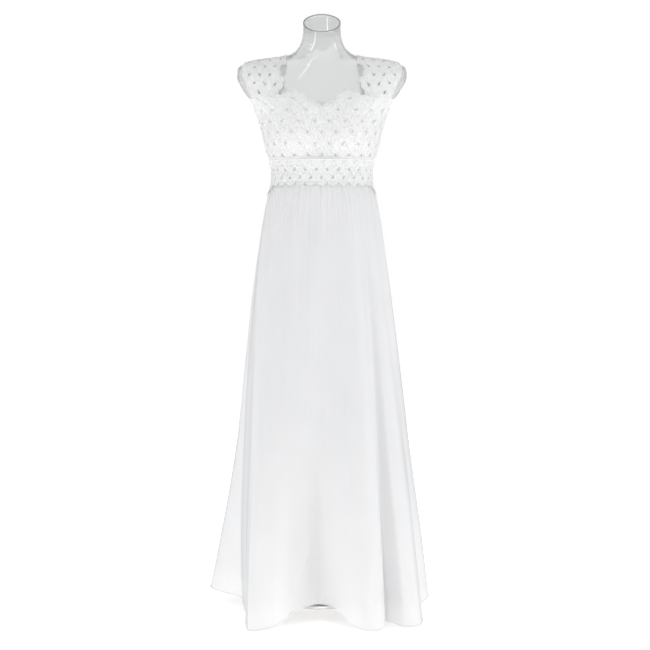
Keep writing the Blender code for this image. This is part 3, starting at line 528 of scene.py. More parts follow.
def placed(obj, replaces=()):
    """Lets a finished piece ride on the one body, and stand for its solids."""
    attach(obj, "root")
    if replaces:
        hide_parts(*replaces)
    return obj


def grid_faces(columns, rows, closed=False):
    """Quads of a grid whose points run along each row, turned to face out."""
    faces = []
    for j in range(rows - 1):
        for i in range(columns if closed else columns - 1):
            k = (i + 1) % columns
            faces.append((j * columns + i, j * columns + k, (j + 1) * columns + k, (j + 1) * columns + i))
    return faces


def shell_faces(columns, rows):
    """The same grid twice, turned out and turned in, with its four edges closed."""
    count = columns * rows
    outside = grid_faces(columns, rows)
    faces = outside + [tuple(i + count for i in reversed(face)) for face in outside]
    rim = list(range(columns)) + [j * columns + columns - 1 for j in range(1, rows)]
    rim += [(rows - 1) * columns + i for i in reversed(range(columns - 1))]
    rim += [j * columns for j in reversed(range(1, rows - 1))]
    for a, b in zip(rim, rim[1:] + rim[:1]):
        faces.append((b, a, a + count, b + count))
    return faces


# Geometry Nodes for what follows a line or repeats


def new_tree(name, inputs):
    """A tree with one geometry in and out, and a named input for each size."""
    tree = bpy.data.node_groups.new(name, "GeometryNodeTree")
    tree.interface.new_socket("Geometry", in_out="INPUT", socket_type="NodeSocketGeometry")
    for label, kind, value in inputs:
        socket = tree.interface.new_socket(label, in_out="INPUT", socket_type=kind)
        if value is not None:
            socket.default_value = value
    tree.interface.new_socket("Geometry", in_out="OUTPUT", socket_type="NodeSocketGeometry")
    return tree, tree.nodes.new("NodeGroupInput"), tree.nodes.new("NodeGroupOutput")


def add_node(tree, kind, links=(), **settings):
    """A node with its settings, and a link into each input that links names."""
    node = tree.nodes.new(kind)
    for key, value in settings.items():
        setattr(node, key, value)
    for label, source in dict(links).items():
        socket = node.inputs[label]
        if isinstance(source, bpy.types.NodeSocket):
            tree.links.new(source, socket)
        else:
            socket.default_value = source
    return node


def maths(tree, operation, *values, **settings):
    """The result of one sum on sockets or numbers."""
    links = dict(enumerate(values))
    return add_node(tree, "ShaderNodeMath", links, operation=operation, **settings).outputs[0]


def close_tree(tree, group_out, geometry, material):
    """Every tree ends in plain geometry with its material."""
    real = add_node(tree, "GeometryNodeRealizeInstances", {"Geometry": geometry})
    smooth = add_node(tree, "GeometryNodeSetShadeSmooth", {"Geometry": real.outputs["Geometry"]})
    done = add_node(
        tree, "GeometryNodeSetMaterial", {"Geometry": smooth.outputs["Geometry"], "Material": material}
    )
    tree.links.new(done.outputs["Geometry"], group_out.inputs["Geometry"])


MATERIAL_INPUT = ("Material", "NodeSocketMaterial", None)


def cord_tree():
    """A round or flattened cord along a line of edges."""
    tree, sizes, out = new_tree(
        "cord along a line",
        [
            ("Radius", "NodeSocketFloat", CORD_RADIUS),
            ("Sides", "NodeSocketInt", 6),
            MATERIAL_INPUT,
        ],
    )
    line = add_node(tree, "GeometryNodeMeshToCurve", {"Mesh": sizes.outputs["Geometry"]})
    profile = add_node(
        tree,
        "GeometryNodeCurvePrimitiveCircle",
        {"Resolution": sizes.outputs["Sides"], "Radius": sizes.outputs["Radius"]},
    )
    cord = add_node(
        tree,
        "GeometryNodeCurveToMesh",
        {"Curve": line.outputs["Curve"], "Profile Curve": profile.outputs["Curve"], "Fill Caps": True},
    )
    close_tree(tree, out, cord.outputs["Mesh"], sizes.outputs["Material"])
    return tree


def stitch_tree():
    """A row of short stitches along a line of edges."""
    tree, sizes, out = new_tree(
        "stitches along a line",
        [
            ("Pitch", "NodeSocketFloat", STITCH_PITCH),
            ("Length", "NodeSocketFloat", STITCH_LENGTH),
            ("Radius", "NodeSocketFloat", STITCH_RADIUS),
            MATERIAL_INPUT,
        ],
    )
    line = add_node(tree, "GeometryNodeMeshToCurve", {"Mesh": sizes.outputs["Geometry"]})
    places = add_node(
        tree,
        "GeometryNodeCurveToPoints",
        {"Curve": line.outputs["Curve"], "Length": sizes.outputs["Pitch"]},
        mode="LENGTH",
    )
    stitch = add_node(
        tree,
        "GeometryNodeMeshCylinder",
        {"Vertices": 5, "Radius": sizes.outputs["Radius"], "Depth": sizes.outputs["Length"]},
    )
    row = add_node(
        tree,
        "GeometryNodeInstanceOnPoints",
        {
            "Points": places.outputs["Points"],
            "Instance": stitch.outputs["Mesh"],
            "Rotation": places.outputs["Rotation"],
        },
    )
    close_tree(tree, out, row.outputs["Instances"], sizes.outputs["Material"])
    return tree


def lash_tree():
    """A fine tapered thread on each point, along its direction, with a little of its own lean and length."""
    tree, sizes, out = new_tree(
        "threads at an edge",
        [
            ("Length", "NodeSocketFloat", LASH_LENGTH),
            ("Radius", "NodeSocketFloat", LASH_RADIUS),
            ("Lean", "NodeSocketFloat", 0.35),
            MATERIAL_INPUT,
        ],
    )
    direction = add_node(
        tree, "GeometryNodeInputNamedAttribute", {"Name": "direction"}, data_type="FLOAT_VECTOR"
    )
    least = maths(tree, "MULTIPLY", sizes.outputs["Lean"], -1.0)
    low = add_node(tree, "ShaderNodeCombineXYZ", {"X": least, "Y": least, "Z": least})
    high = add_node(
        tree,
        "ShaderNodeCombineXYZ",
        {"X": sizes.outputs["Lean"], "Y": sizes.outputs["Lean"], "Z": sizes.outputs["Lean"]},
    )
    lean = add_node(
        tree,
        "FunctionNodeRandomValue",
        {"Min": low.outputs[0], "Max": high.outputs[0], "Seed": 5},
        data_type="FLOAT_VECTOR",
    )
    leaning = add_node(
        tree,
        "ShaderNodeVectorMath",
        {0: direction.outputs["Attribute"], 1: lean.outputs["Value"]},
        operation="ADD",
    )
    turned = add_node(
        tree, "FunctionNodeAlignRotationToVector", {"Vector": leaning.outputs["Vector"]}, axis="Z"
    )
    thread = add_node(
        tree,
        "GeometryNodeMeshCone",
        {
            "Vertices": 3,
            "Radius Top": LASH_TIP,
            "Radius Bottom": sizes.outputs["Radius"],
            "Depth": sizes.outputs["Length"],
        },
    )
    share = add_node(tree, "FunctionNodeRandomValue", {2: 0.55, 3: 1.0, "Seed": 9}, data_type="FLOAT")
    scale = add_node(tree, "ShaderNodeCombineXYZ", {"X": 1.0, "Y": 1.0, "Z": share.outputs[1]})
    fringe = add_node(
        tree,
        "GeometryNodeInstanceOnPoints",
        {
            "Points": sizes.outputs["Geometry"],
            "Instance": thread.outputs["Mesh"],
            "Rotation": turned.outputs["Rotation"],
            "Scale": scale.outputs[0],
        },
    )
    close_tree(tree, out, fringe.outputs["Instances"], sizes.outputs["Material"])
    return tree


def motif_tree():
    """One lace motif on each point of the flat lace, at the point's own turn and size."""
    tree, sizes, out = new_tree(
        "motifs on flat lace", [("Motif", "NodeSocketObject", None), MATERIAL_INPUT]
    )
    motif = add_node(tree, "GeometryNodeObjectInfo", {"Object": sizes.outputs["Motif"]})
    turn = add_node(tree, "GeometryNodeInputNamedAttribute", {"Name": "turn"}, data_type="FLOAT")
    size = add_node(tree, "GeometryNodeInputNamedAttribute", {"Name": "size"}, data_type="FLOAT")
    rotation = add_node(tree, "ShaderNodeCombineXYZ", {"Z": turn.outputs["Attribute"]})
    scale = add_node(
        tree,
        "ShaderNodeCombineXYZ",
        {"X": size.outputs["Attribute"], "Y": size.outputs["Attribute"], "Z": 1.0},
    )
    spread = add_node(
        tree,
        "GeometryNodeInstanceOnPoints",
        {
            "Points": sizes.outputs["Geometry"],
            "Instance": motif.outputs["Geometry"],
            "Rotation": rotation.outputs[0],
            "Scale": scale.outputs[0],
        },
    )
    close_tree(tree, out, spread.outputs["Instances"], sizes.outputs["Material"])
    return tree


def grown(obj, tree, sizes):
    """The object with the tree's result as its plain mesh."""
    modifier = obj.modifiers.new(tree.name, "NODES")
    modifier.node_group = tree
    for item in tree.interface.items_tree:
        if item.in_out == "INPUT" and item.name in sizes:
            modifier[item.identifier] = sizes[item.name]
    mesh = bpy.data.meshes.new_from_object(obj.evaluated_get(bpy.context.evaluated_depsgraph_get()))
    obj.modifiers.remove(modifier)
    obj.data = mesh
    return obj


def line_object(name, lines):
    """Lines of points as edges. A line whose first and last points are the same is closed."""
    points, edges = [], []
    for line in lines:
        closed = np.linalg.norm(np.subtract(line[0], line[-1])) < 1e-7
        line = line[:-1] if closed else line
        first = len(points)
        points += [tuple(p) for p in line]
        edges += [(first + i, first + i + 1) for i in range(len(line) - 1)]
        if closed:
            edges.append((first + len(line) - 1, first))
    mesh = bpy.data.meshes.new(name)
    mesh.from_pydata(points, edges, [])
    obj = bpy.data.objects.new(name, mesh)
    bpy.context.scene.collection.objects.link(obj)
    return obj


def cords(name, lines, material, radius=CORD_RADIUS, sides=6):
    """A round cord along each line."""
    sizes = {"Radius": radius, "Sides": sides, "Material": material}
    return grown(line_object(name, lines), TREES["cord"], sizes)


def stitches(name, lines, material, pitch=STITCH_PITCH):
    """A row of stitches along each line."""
    sizes = {"Pitch": pitch, "Length": STITCH_LENGTH, "Radius": STITCH_RADIUS, "Material": material}
    return grown(line_object(name, lines), TREES["stitch"], sizes)


def point_object(name, points):
    """Loose points, for a tree that puts something on each."""
    mesh = bpy.data.meshes.new(name)
    mesh.from_pydata([tuple(p) for p in points], [], [])
    obj = bpy.data.objects.new(name, mesh)
    bpy.context.scene.collection.objects.link(obj)
    return obj


def lashes(name, points, directions, material, length=LASH_LENGTH):
    """A fine thread on each point."""
    obj = point_object(name, points)
    attribute = obj.data.attributes.new("direction", "FLOAT_VECTOR", "POINT")
    attribute.data.foreach_set("vector", np.asarray(directions, np.float32).ravel())
    return grown(obj, TREES["lash"], {"Length": length, "Material": material})


# Flat outlines


def spaced(points, spacing):
    """The same line with a point at least every spacing."""
    line = [tuple(points[0])]
    for a, b in zip(points, points[1:]):
        count = max(1, math.ceil(math.dist(a, b) / spacing - 1e-6))
        for i in range(1, count + 1):
            t = i / count
            line.append((a[0] + (b[0] - a[0]) * t, a[1] + (b[1] - a[1]) * t))
    return line


def scalloped(points, pitch, depth):
    """The line with round scallops to its right, their tips where the solid has them."""
    points = np.array(points)
    lengths = np.concatenate([[0], np.cumsum(np.linalg.norm(np.diff(points, axis=0), axis=1))])
    count = max(1, round(lengths[-1] / pitch))
    xs, ys = Smooth(lengths, points[:, 0]), Smooth(lengths, points[:, 1])
    at = np.linspace(0, lengths[-1], count * EDGE_STEPS + 1)
    before, after = np.maximum(at - 0.001, 0), np.minimum(at + 0.001, lengths[-1])
    side = np.stack([ys(after) - ys(before), xs(before) - xs(after)], -1)
    side /= np.linalg.norm(side, axis=1, keepdims=True)
    shift = depth * np.abs(np.sin(math.pi * at * count / lengths[-1])) ** 0.8
    return [tuple(p) for p in np.stack([xs(at), ys(at)], -1) + side * shift[:, None]]


def flat_edge(rows, radius=FLAT_RADIUS):
    """The flat line of a table of edge heights."""
    return [(math.radians(row.angle) * radius, row.height) for row in rows]


def joined(*lines):
    """One closed outline from lines that each start where the last one ends."""
    return [point for line in lines for point in line[:-1]]


def inside_loop(points, loop):
    """Which of the points are inside a closed loop."""
    points, a = np.asarray(points, float), np.asarray(loop, float)
    b = np.roll(a, -1, axis=0)
    x, y = points[:, None, 0], points[:, None, 1]
    crossing = (a[:, 1] > y) != (b[:, 1] > y)
    with np.errstate(divide="ignore", invalid="ignore"):
        at = (b[:, 0] - a[:, 0]) * (y - a[:, 1]) / (b[:, 1] - a[:, 1]) + a[:, 0]
    return (crossing & (x < at)).sum(1) % 2 == 1


def loop_distance(points, loop):
    """How far each point is from the nearest side of a loop."""
    points, a = np.asarray(points, float)[:, None], np.asarray(loop, float)
    side = np.roll(a, -1, axis=0) - a
    t = ((points - a) * side).sum(-1) / np.maximum((side**2).sum(-1), 1e-18)
    return np.linalg.norm(a + side * np.clip(t, 0, 1)[..., None] - points, axis=-1).min(1)


def lace_gap(centre, lean, long, wide):
    """A gap between flowers: a long drop with a blunt and a sharp end, rounded."""
    shape = [
        (0.60, 0.0), (0.36, 0.20), (0.10, 0.40), (-0.12, 0.48), (-0.32, 0.36),
        (-0.40, 0.0), (-0.32, -0.36), (-0.12, -0.48), (0.10, -0.40), (0.36, -0.20),
    ]
    cos, sin = math.cos(lean), math.sin(lean)
    return [
        (
            centre[0] + long * x * cos - wide * y * sin,
            centre[1] + long * x * sin + wide * y * cos,
        )
        for x, y in shape
    ]


def lace_gaps(outline, repeat):
    """Gaps on a staggered repeat, wherever one fits inside the outline."""
    xs, ys = [p[0] for p in outline], [p[1] for p in outline]
    gaps = []
    for j in range(math.floor(min(ys) / repeat.along), math.ceil(max(ys) / repeat.along) + 1):
        for i in range(math.floor(min(xs) / repeat.across) - 1, math.ceil(max(xs) / repeat.across) + 1):
            centre = ((i + 0.5 * (j % 2)) * repeat.across, j * repeat.along)
            lean = math.radians(90 + (35 if (i + j) % 2 else -35))
            gap = lace_gap(centre, lean, repeat.gap_long, repeat.gap_wide)
            if inside_loop(gap, outline).all() and (loop_distance(gap, outline) > GAP_MARGIN).all():
                gaps.append(gap)
    return gaps


def in_gaps(points, gaps):
    """Which of the points are inside any gap."""
    found = np.zeros(len(points), bool)
    for gap in gaps:
        found |= inside_loop(points, gap)
    return found


# Lace

Lace = namedtuple("Lace", "surface move inner outer outline repeat")


def on_lace(lace, flat, lift=0.0):
    """Points over flat places of the lace, lift above its outer face."""
    flat = np.asarray(flat, float)
    distance = lace.outer + np.broadcast_to(lift, (len(flat),))
    return lace.move(lace.surface, flat[:, 0], flat[:, 1], distance, FLAT_STEP)


def mirrored_copy(obj, name):
    """The same piece for the wearer's other side, with its faces still out."""
    mesh = obj.data.copy()
    places = np.empty(len(mesh.vertices) * 3, np.float32)
    mesh.vertices.foreach_get("co", places)
    places[::3] *= -1
    mesh.vertices.foreach_set("co", places)
    mesh.flip_normals()
    copy = bpy.data.objects.new(name, mesh)
    copy.visible_shadow = obj.visible_shadow
    bpy.context.scene.collection.objects.link(copy)
    return copy


def net_sheet(name, lace, gaps, material):
    """The net ground, with the gaps of its repeat cut through."""
    loops = [lace.outline] + gaps
    points, edges = [], []
    for loop in loops:
        first = len(points)
        points += loop
        edges += [(first + i, first + (i + 1) % len(loop)) for i in range(len(loop))]
    low, high = np.min(lace.outline, axis=0), np.max(lace.outline, axis=0)
    xs = np.arange(low[0] + NET_SPACING / 2, high[0], NET_SPACING)
    ys = np.arange(low[1] + NET_SPACING / 2, high[1], NET_SPACING)
    grid = np.stack(np.meshgrid(xs, ys), -1)
    grid[1::2, :, 0] += NET_SPACING / 2
    grid = grid.reshape(-1, 2)
    clear = inside_loop(grid, lace.outline) & (loop_distance(grid, lace.outline) > 0.3 * NET_SPACING)
    for gap in gaps:
        clear &= ~inside_loop(grid, gap) & (loop_distance(grid, gap) > 0.3 * NET_SPACING)
    flat = [Vector(p) for p in points] + [Vector(p) for p in grid[clear]]
    made, _, triangles, *_ = delaunay_2d_cdt(flat, edges, [], 0, 1e-7)
    made = np.array([tuple(p) for p in made])
    middles = made[np.array(triangles)].mean(1)
    kept = inside_loop(middles, lace.outline) & ~in_gaps(middles, gaps)
    faces = [tuple(t) for t, keep in zip(triangles, kept) if keep]
    return add_mesh(name, on_lace(lace, made, -0.0004), faces, material, uv=made)


def template(name, points, faces):
    """A flat motif, kept out of the scene. Its third coordinate is its lift."""
    mesh = bpy.data.meshes.new(name)
    mesh.from_pydata([tuple(p) for p in points], [], faces)
    return bpy.data.objects.new(name, mesh)


def flower_template(name, petals, around, radius):
    """Domed petals with a raised edge round a small raised heart."""
    rings = [(0.0, 1.1), (0.20, 0.95), (0.30, 0.10), (0.62, 0.60), (0.88, 0.95), (1.0, 0.0)]
    points = [(0, 0, rings[0][1] * MOTIF_LIFT)]
    for share, lift in rings[1:]:
        for i in range(around):
            turn = math.tau * i / around
            petal = abs(math.cos(petals * turn / 2)) ** 0.5 if share > 0.3 else 1.0
            reach = radius * share * (0.62 + 0.38 * petal)
            high = MOTIF_LIFT * lift * (0.35 + 0.65 * petal)
            points.append((reach * math.cos(turn), reach * math.sin(turn), high))
    faces = [(0, 1 + i, 1 + (i + 1) % around) for i in range(around)]
    for j in range(len(rings) - 2):
        for i in range(around):
            k = (i + 1) % around
            a, b = 1 + j * around, 1 + (j + 1) * around
            faces.append((a + i, b + i, b + k, a + k))
    return template(name, points, faces)


def leaf_template(name, length, width, steps=6):
    """A pointed leaf with a raised rib and edge. Its foot is at the origin."""
    section = [(-1, 0), (-0.75, 0.8), (-0.28, 0.25), (0, 0.9), (0.28, 0.25), (0.75, 0.8), (1, 0)]
    points, faces = [], []
    for i in range(steps):
        t = i / (steps - 1)
        half = width / 2 * math.sin(math.pi * (0.04 + 0.92 * t) ** 0.85)
        bend = 0.1 * length * math.sin(math.pi * t)
        points += [(length * t, half * across + bend, lift * MOTIF_LIFT) for across, lift in section]
    for i in range(steps - 1):
        for k in range(len(section) - 1):
            a = i * len(section) + k
            faces.append((a, a + len(section), a + len(section) + 1, a + 1))
    return template(name, points, faces)


Motif = namedtuple("Motif", "kind x y turn size")
SPRIG = [
    Motif("leaf", 58, 0.95, 34, 1.0),
    Motif("leaf", 122, 0.95, -34, 1.0),
    Motif("leaf", 238, 0.95, 34, 1.0),
    Motif("leaf", 302, 0.95, -34, 1.0),
    Motif("leaf", 12, 1.00, -58, 0.62),
    Motif("leaf", 168, 1.00, 58, 0.62),
    Motif("leaf", 192, 1.00, -58, 0.62),
    Motif("leaf", 348, 1.00, 58, 0.62),
    Motif("bud", 90, 1.42, 0, 1.0),
    Motif("bud", 270, 1.42, 0, 1.0),
]


def cells(lace):
    """(column, row, middle) of each flower, between the gaps. A wide repeat has two, and a tall one four."""
    repeat = lace.repeat
    spots = WIDE_SPOTS[:4 if repeat.along > TALL_REPEAT else 2]
    if repeat.across < WIDE_REPEAT:
        spots = [(0.5, 0.0)]
    low, high = np.min(lace.outline, axis=0), np.max(lace.outline, axis=0)
    for j in range(math.floor(low[1] / repeat.along) - 1, math.ceil(high[1] / repeat.along) + 2):
        for i in range(math.floor(low[0] / repeat.across) - 2, math.ceil(high[0] / repeat.across) + 2):
            for k, (across, along) in enumerate(spots):
                yield i + k, j, ((i + 0.5 * (j % 2) + across) * repeat.across, (j + along) * repeat.along)


def flower_size(repeat):
    """A flower's size, as a share of its template, that leaves the gaps open."""
    pitch = repeat.across / 2 if repeat.across > WIDE_REPEAT else repeat.across
    return min((pitch - repeat.gap_wide * 0.5) / 2.2 / FLOWER_RADIUS, 1.25)


def motif_places(lace, edges):
    """A sprig in each cell, and a row of small leaves that point out along the free edges."""
    rng = np.random.default_rng(LACE_SEED)
    size, made = flower_size(lace.repeat), []
    for i, j, (x, y) in cells(lace):
        x, y = x + rng.uniform(-0.0008, 0.0008), y + rng.uniform(-0.0008, 0.0008)
        grow, spin = rng.uniform(0.88, 1.06) * size, rng.uniform(-20, 20)
        kind = "rose" if (i + 2 * j) % 3 else "daisy"
        made.append(Motif(kind, x, y, math.radians(90 + spin), grow))
        for part in SPRIG:
            lean = math.radians(part.x + spin * 0.4)
            reach = FLOWER_RADIUS * size * part.y
            place = (x + reach * math.cos(lean), y + reach * math.sin(lean))
            turn = lean + math.radians(part.turn + rng.uniform(-12, 12))
            made.append(Motif(part.kind, *place, turn, part.size * size * rng.uniform(0.85, 1.1)))
    for edge in edges:
        line = np.array(spaced(edge, BORDER_PITCH))
        ahead = np.gradient(line, axis=0)
        side = np.stack([ahead[:, 1], -ahead[:, 0]], -1)
        side /= np.linalg.norm(side, axis=1, keepdims=True)
        side[inside_loop(line + side * 0.002, lace.outline)] *= -1
        for (x, y), (across, along) in zip(line - side * BORDER_LEAF, side):
            made.append(Motif("leaf", x, y, math.atan2(along, across), 0.5))
    return made


def lace_motifs(name, lace, gaps, edges, material):
    """Every motif of one lace piece, cut off at its outline and round its gaps."""
    places = motif_places(lace, edges)
    points, faces = [], []
    for kind, shape in MOTIFS.items():
        chosen = [m for m in places if m.kind == kind]
        flat = point_object(name + kind, [(m.x, m.y, 0) for m in chosen])
        for label in ("turn", "size"):
            attribute = flat.data.attributes.new(label, "FLOAT", "POINT")
            attribute.data.foreach_set("value", [getattr(m, label) for m in chosen])
        grown(flat, TREES["motif"], {"Motif": shape, "Material": material})
        first = len(points)
        points += [tuple(v.co) for v in flat.data.vertices]
        faces += [tuple(first + i for i in f.vertices) for f in flat.data.polygons]
        bpy.data.objects.remove(flat)
    points = np.array(points)
    middles = np.array([points[list(face), :2].mean(0) for face in faces])
    inside = inside_loop(middles, lace.outline) & ~in_gaps(middles, gaps)
    kept = [face for face, keep in zip(faces, inside) if keep]
    used = np.unique([i for face in kept for i in face])
    order = {old: new for new, old in enumerate(used)}
    kept = [tuple(order[i] for i in face) for face in kept]
    spread = on_lace(lace, points[used, :2], points[used, 2])
    flowers = add_mesh(name, spread, kept, material, uv=points[used, :2])
    flowers.visible_shadow = False
    return flowers


def stem_lines(lace, gaps):
    """Curved stems from each flower to the two above it, broken at the outline and at the gaps."""
    repeat, lines = lace.repeat, []
    t = np.linspace(0, 1, STEM_STEPS)
    for i, j, (x, y) in cells(lace):
        for side in (-1, 1):
            across, along = side * repeat.across / 2, repeat.along
            sway = STEM_SWAY * repeat.across * np.sin(math.tau * t) * (1 if (i + j) % 2 else -1)
            length = math.hypot(across, along)
            line = np.stack(
                [x + across * t - sway * along / length, y + along * t + sway * across / length], -1
            )
            free = inside_loop(line, lace.outline) & ~in_gaps(line, gaps)
            ends = np.flatnonzero(np.diff(np.concatenate([[0], free, [0]])))
            lines += [line[a:b] for a, b in zip(ends[::2], ends[1::2]) if b - a > 2]
    return lines


def lace_cords(name, lace, gaps, edges, material):
    """Cords round the free edges and the gaps, and the stems."""
    lines = [on_lace(lace, edge, 0.0002) for edge in edges]
    lines += [on_lace(lace, gap + gap[:1], 0.0002) for gap in gaps]
    lines += [on_lace(lace, line, 0.0001) for line in stem_lines(lace, gaps)]
    return cords(name, lines, material, sides=5)


def lace_lashes(name, lace, edges, material):
    """Fine threads that stand out from the scalloped edges, in the lace's own surface."""
    points, directions = [], []
    for edge in edges:
        line = np.array(spaced(edge, LASH_PITCH))
        ahead = np.gradient(line, axis=0)
        side = np.stack([ahead[:, 1], -ahead[:, 0]], -1)
        side /= np.linalg.norm(side, axis=1, keepdims=True)
        side[inside_loop(line + side * 0.002, lace.outline)] *= -1
        start = on_lace(lace, line)
        away = on_lace(lace, line + side * 0.001) - start
        away /= np.linalg.norm(away, axis=1, keepdims=True)
        points.append(start + away * LASH_LENGTH * 0.35)
        directions.append(away)
    return lashes(name, np.concatenate(points), np.concatenate(directions), material)


def lace_piece(nodes, lace, edges, lash_edges, rests_on):
    """A lace panel, or a left and right pair: net, motifs, cords and threads, in the place of its solid."""
    gaps = lace_gaps(lace.outline, lace.repeat)
    first = nodes[0]
    made = [
        net_sheet(first + "_net", lace, gaps, M["net"]),
        lace_motifs(first + "_flowers", lace, gaps, lash_edges, M["lace"]),
        lace_cords(first + "_cords", lace, gaps, edges, M["cord"]),
        lace_lashes(first + "_threads", lace, lash_edges, M["cord"]),
    ]
    sets = [made]
    for node in nodes[1:]:
        sets.append([mirrored_copy(piece, piece.name.replace(first, node)) for piece in made])
    for node, (net, *parts), carrier in zip(nodes, sets, rests_on):
        placed(net, [node])
        for part in parts:
            placed(part)


def make_overlay():
    """The lace over the front and the two backs of the bodice."""
    neckline = scalloped(flat_edge(LACE_NECKLINE), NECK_SCALLOP, -NECK_SCALLOP_DEPTH)
    armhole = flat_edge(LACE_ARMHOLE)
    low_side = (armhole[-1][0], BODICE_BOTTOM)
    strap_join = spaced([neckline[-1], armhole[0]], OUTLINE_STEP)
    arm = spaced(armhole, OUTLINE_STEP)
    half = neckline + strap_join[1:] + arm[1:] + spaced([arm[-1], low_side], OUTLINE_STEP)[1:]
    other = [(-x, y) for x, y in reversed(half)]
    outline = joined(half, spaced([low_side, other[0]], OUTLINE_STEP), other)[::-1]
    lace = Lace(bodice_place, moved_level, OVERLAY_INNER, OVERLAY_OUTER, outline, FRONT_REPEAT)
    free = [[(-x, y) for x, y in reversed(neckline)][:-1] + neckline]
    free += [arm, [(-x, y) for x, y in arm]]
    joins = [strap_join, [(-x, y) for x, y in strap_join]]
    lace_piece(["lace_front"], lace, free + joins, free, ["bodice_front_panel"])
    armhole, neckline = flat_edge(LACE_BACK_ARMHOLE), flat_edge(LACE_BACK_NECKLINE)
    scallops = scalloped(neckline, NECK_SCALLOP, -NECK_SCALLOP_DEPTH)
    corners = [scallops[-1], (scallops[-1][0], BODICE_BOTTOM), (armhole[0][0], BODICE_BOTTOM), armhole[0]]
    arm = spaced(armhole, OUTLINE_STEP)
    outline = joined(arm + scallops[:1], scallops, spaced(corners, OUTLINE_STEP))[::-1]
    lace = Lace(bodice_place, moved_level, OVERLAY_INNER, OVERLAY_OUTER, outline, BACK_REPEAT)
    carriers = ["bodice_back_left_panel", "bodice_back_right_panel"]
    free = [arm, scallops]
    nodes = ["lace_back_left", "lace_back_right"]
    lace_piece(nodes, lace, free, free, carriers)


def make_band():
    """The scalloped band that hangs from the waist seam over the skirt."""
    hem = Smooth([row.angle for row in BAND_HEM], [row.height for row in BAND_HEM])
    for nodes, low, high, repeat, flat, area in (
        (["lace_band_front"], -SIDE_SEAM, SIDE_SEAM, BAND_FRONT_REPEAT, (0.42, 0.066), 0.025),
        (
            ["lace_band_back_left", "lace_band_back_right"],
            SIDE_SEAM, CENTRE_BACK, BAND_BACK_REPEAT, (0.19, 0.084), 0.0155,
        ),
    ):
        angles = np.linspace(low + SEAM_ANGLE, high - SEAM_ANGLE, 25)
        edge = [(math.radians(a) * BAND_FLAT_RADIUS, float(hem(abs(a)))) for a in angles]
        edge = scalloped(edge, BAND_SCALLOP, BAND_SCALLOP_DEPTH)
        corners = [edge[-1], (edge[-1][0], SKIRT_TOP), (edge[0][0], SKIRT_TOP), edge[0]]
        outline = joined(edge, spaced(corners, OUTLINE_STEP))
        lace = Lace(band_place, moved_level, BAND_INNER, BAND_OUTER, outline, repeat)
        carriers = [node.replace("lace_band", "skirt") + "_panel" for node in nodes]
        lace_piece(nodes, lace, [edge], [edge], carriers)


def make_straps():
    """The wide lace straps over the shoulders, from front to back."""
    def edge(column, top):
        front = [on_strap(getattr(row, column), row.height, 0) for row in STRAP_FRONT]
        back = [on_strap(getattr(row, column), row.height, 1) for row in STRAP_BACK]
        return front + [(top, 0.0)] + back

    def end(row, side):
        return [on_strap(x, row.height, side) for x in np.linspace(row.neck_edge, row.arm_edge, 12)]

    neck = scalloped(edge("neck_edge", STRAP_TOP_NECK_EDGE), NECK_SCALLOP, -NECK_SCALLOP_DEPTH)
    arm = spaced(edge("arm_edge", STRAP_TOP_ARM_EDGE), OUTLINE_STEP)
    outline = joined(neck, end(STRAP_BACK[-1], 1), arm[::-1], end(STRAP_FRONT[0], 0)[::-1])[::-1]
    lace = Lace(shoulder_place, moved_strap, STRAP_INNER, STRAP_OUTER, outline, STRAP_REPEAT)
    nodes, carriers = ["strap_left", "strap_right"], ["dress_form_shell"] * 2
    ends = [end(STRAP_BACK[-1], 1), end(STRAP_FRONT[0], 0)]
    lace_piece(nodes, lace, [neck, arm] + ends, [neck], carriers)


def make_waist_seam():
    """Rows of covered cord that close the step between the bodice and the skirt."""
    angles = np.linspace(0, 360, 181)
    wall = np.full(angles.shape, BAND_OUTER)
    low = moved_level(skirt_place, angles, np.ones(angles.shape), wall, ANGLE_STEP)
    rise = np.full(angles.shape, SEAM_HEIGHT + WAIST_RISE)
    high = moved_level(body_place, angles, rise, np.full(angles.shape, OVERLAY_OUTER), ANGLE_STEP)
    rows = []
    for share in np.linspace(0, 1, WAIST_ROWS):
        line = low + (high - low) * share
        line[:, 2] = SEAM_HEIGHT + WAIST_RISE * share**1.5
        line[-1] = line[0]
        rows.append(line)
    placed(cords("waist_cord", rows, M["cord"], WAIST_CORD, 10))


# The display form and its stand


def make_form():
    """A clear moulded shell, open at the slanted neck and closed by a flat bottom."""
    columns, rows = FORM_COLUMNS, FORM_ROWS
    heights = np.linspace(BODY[0].height, BODY[-1].height, 600)
    profile = np.stack([BODY_CURVES[0](heights), heights], -1)
    lengths = np.concatenate([[0], np.cumsum(np.linalg.norm(np.diff(profile, axis=0), axis=1))])
    levels = np.interp(np.linspace(0, lengths[-1], rows), lengths, heights)
    angle, level = np.meshgrid(np.linspace(-180, 180, columns, endpoint=False), levels)
    outside = body_place(angle, level)
    inside = moved_out(body_place, angle, level, np.full(angle.shape, -FORM_WALL), ANGLE_STEP)
    inside[0, :, 2] = levels[0] + FORM_WALL
    inside[-1, :, 2] = outside[-1, :, 2]
    count = columns * rows
    faces = grid_faces(columns, rows, closed=True)
    faces += [tuple(i + count for i in reversed(face)) for face in list(faces)]
    rim = count - columns
    for i in range(columns):
        k = (i + 1) % columns
        faces.append((rim + i, rim + k, rim + k + count, rim + i + count))
    faces.append(tuple(reversed(range(columns))))
    faces.append(tuple(range(count, count + columns)))
    points = np.concatenate([outside.reshape(-1, 3), inside.reshape(-1, 3)])
    shell = add_mesh("dress_form_shell", points, faces, M["clear"])
    placed(shell, ["dress_form"])
    lip = (outside[-1] + inside[-1]) / 2 - np.array([0, 0, RIM_RADIUS])
    lip = np.concatenate([lip, lip[:1]])
    # The rim cord wears the darker clear edge finish: painted shade for the dark line at the lip.
    placed(cords("neck_rim", [lip], M["clear_edge"], RIM_RADIUS, 10))


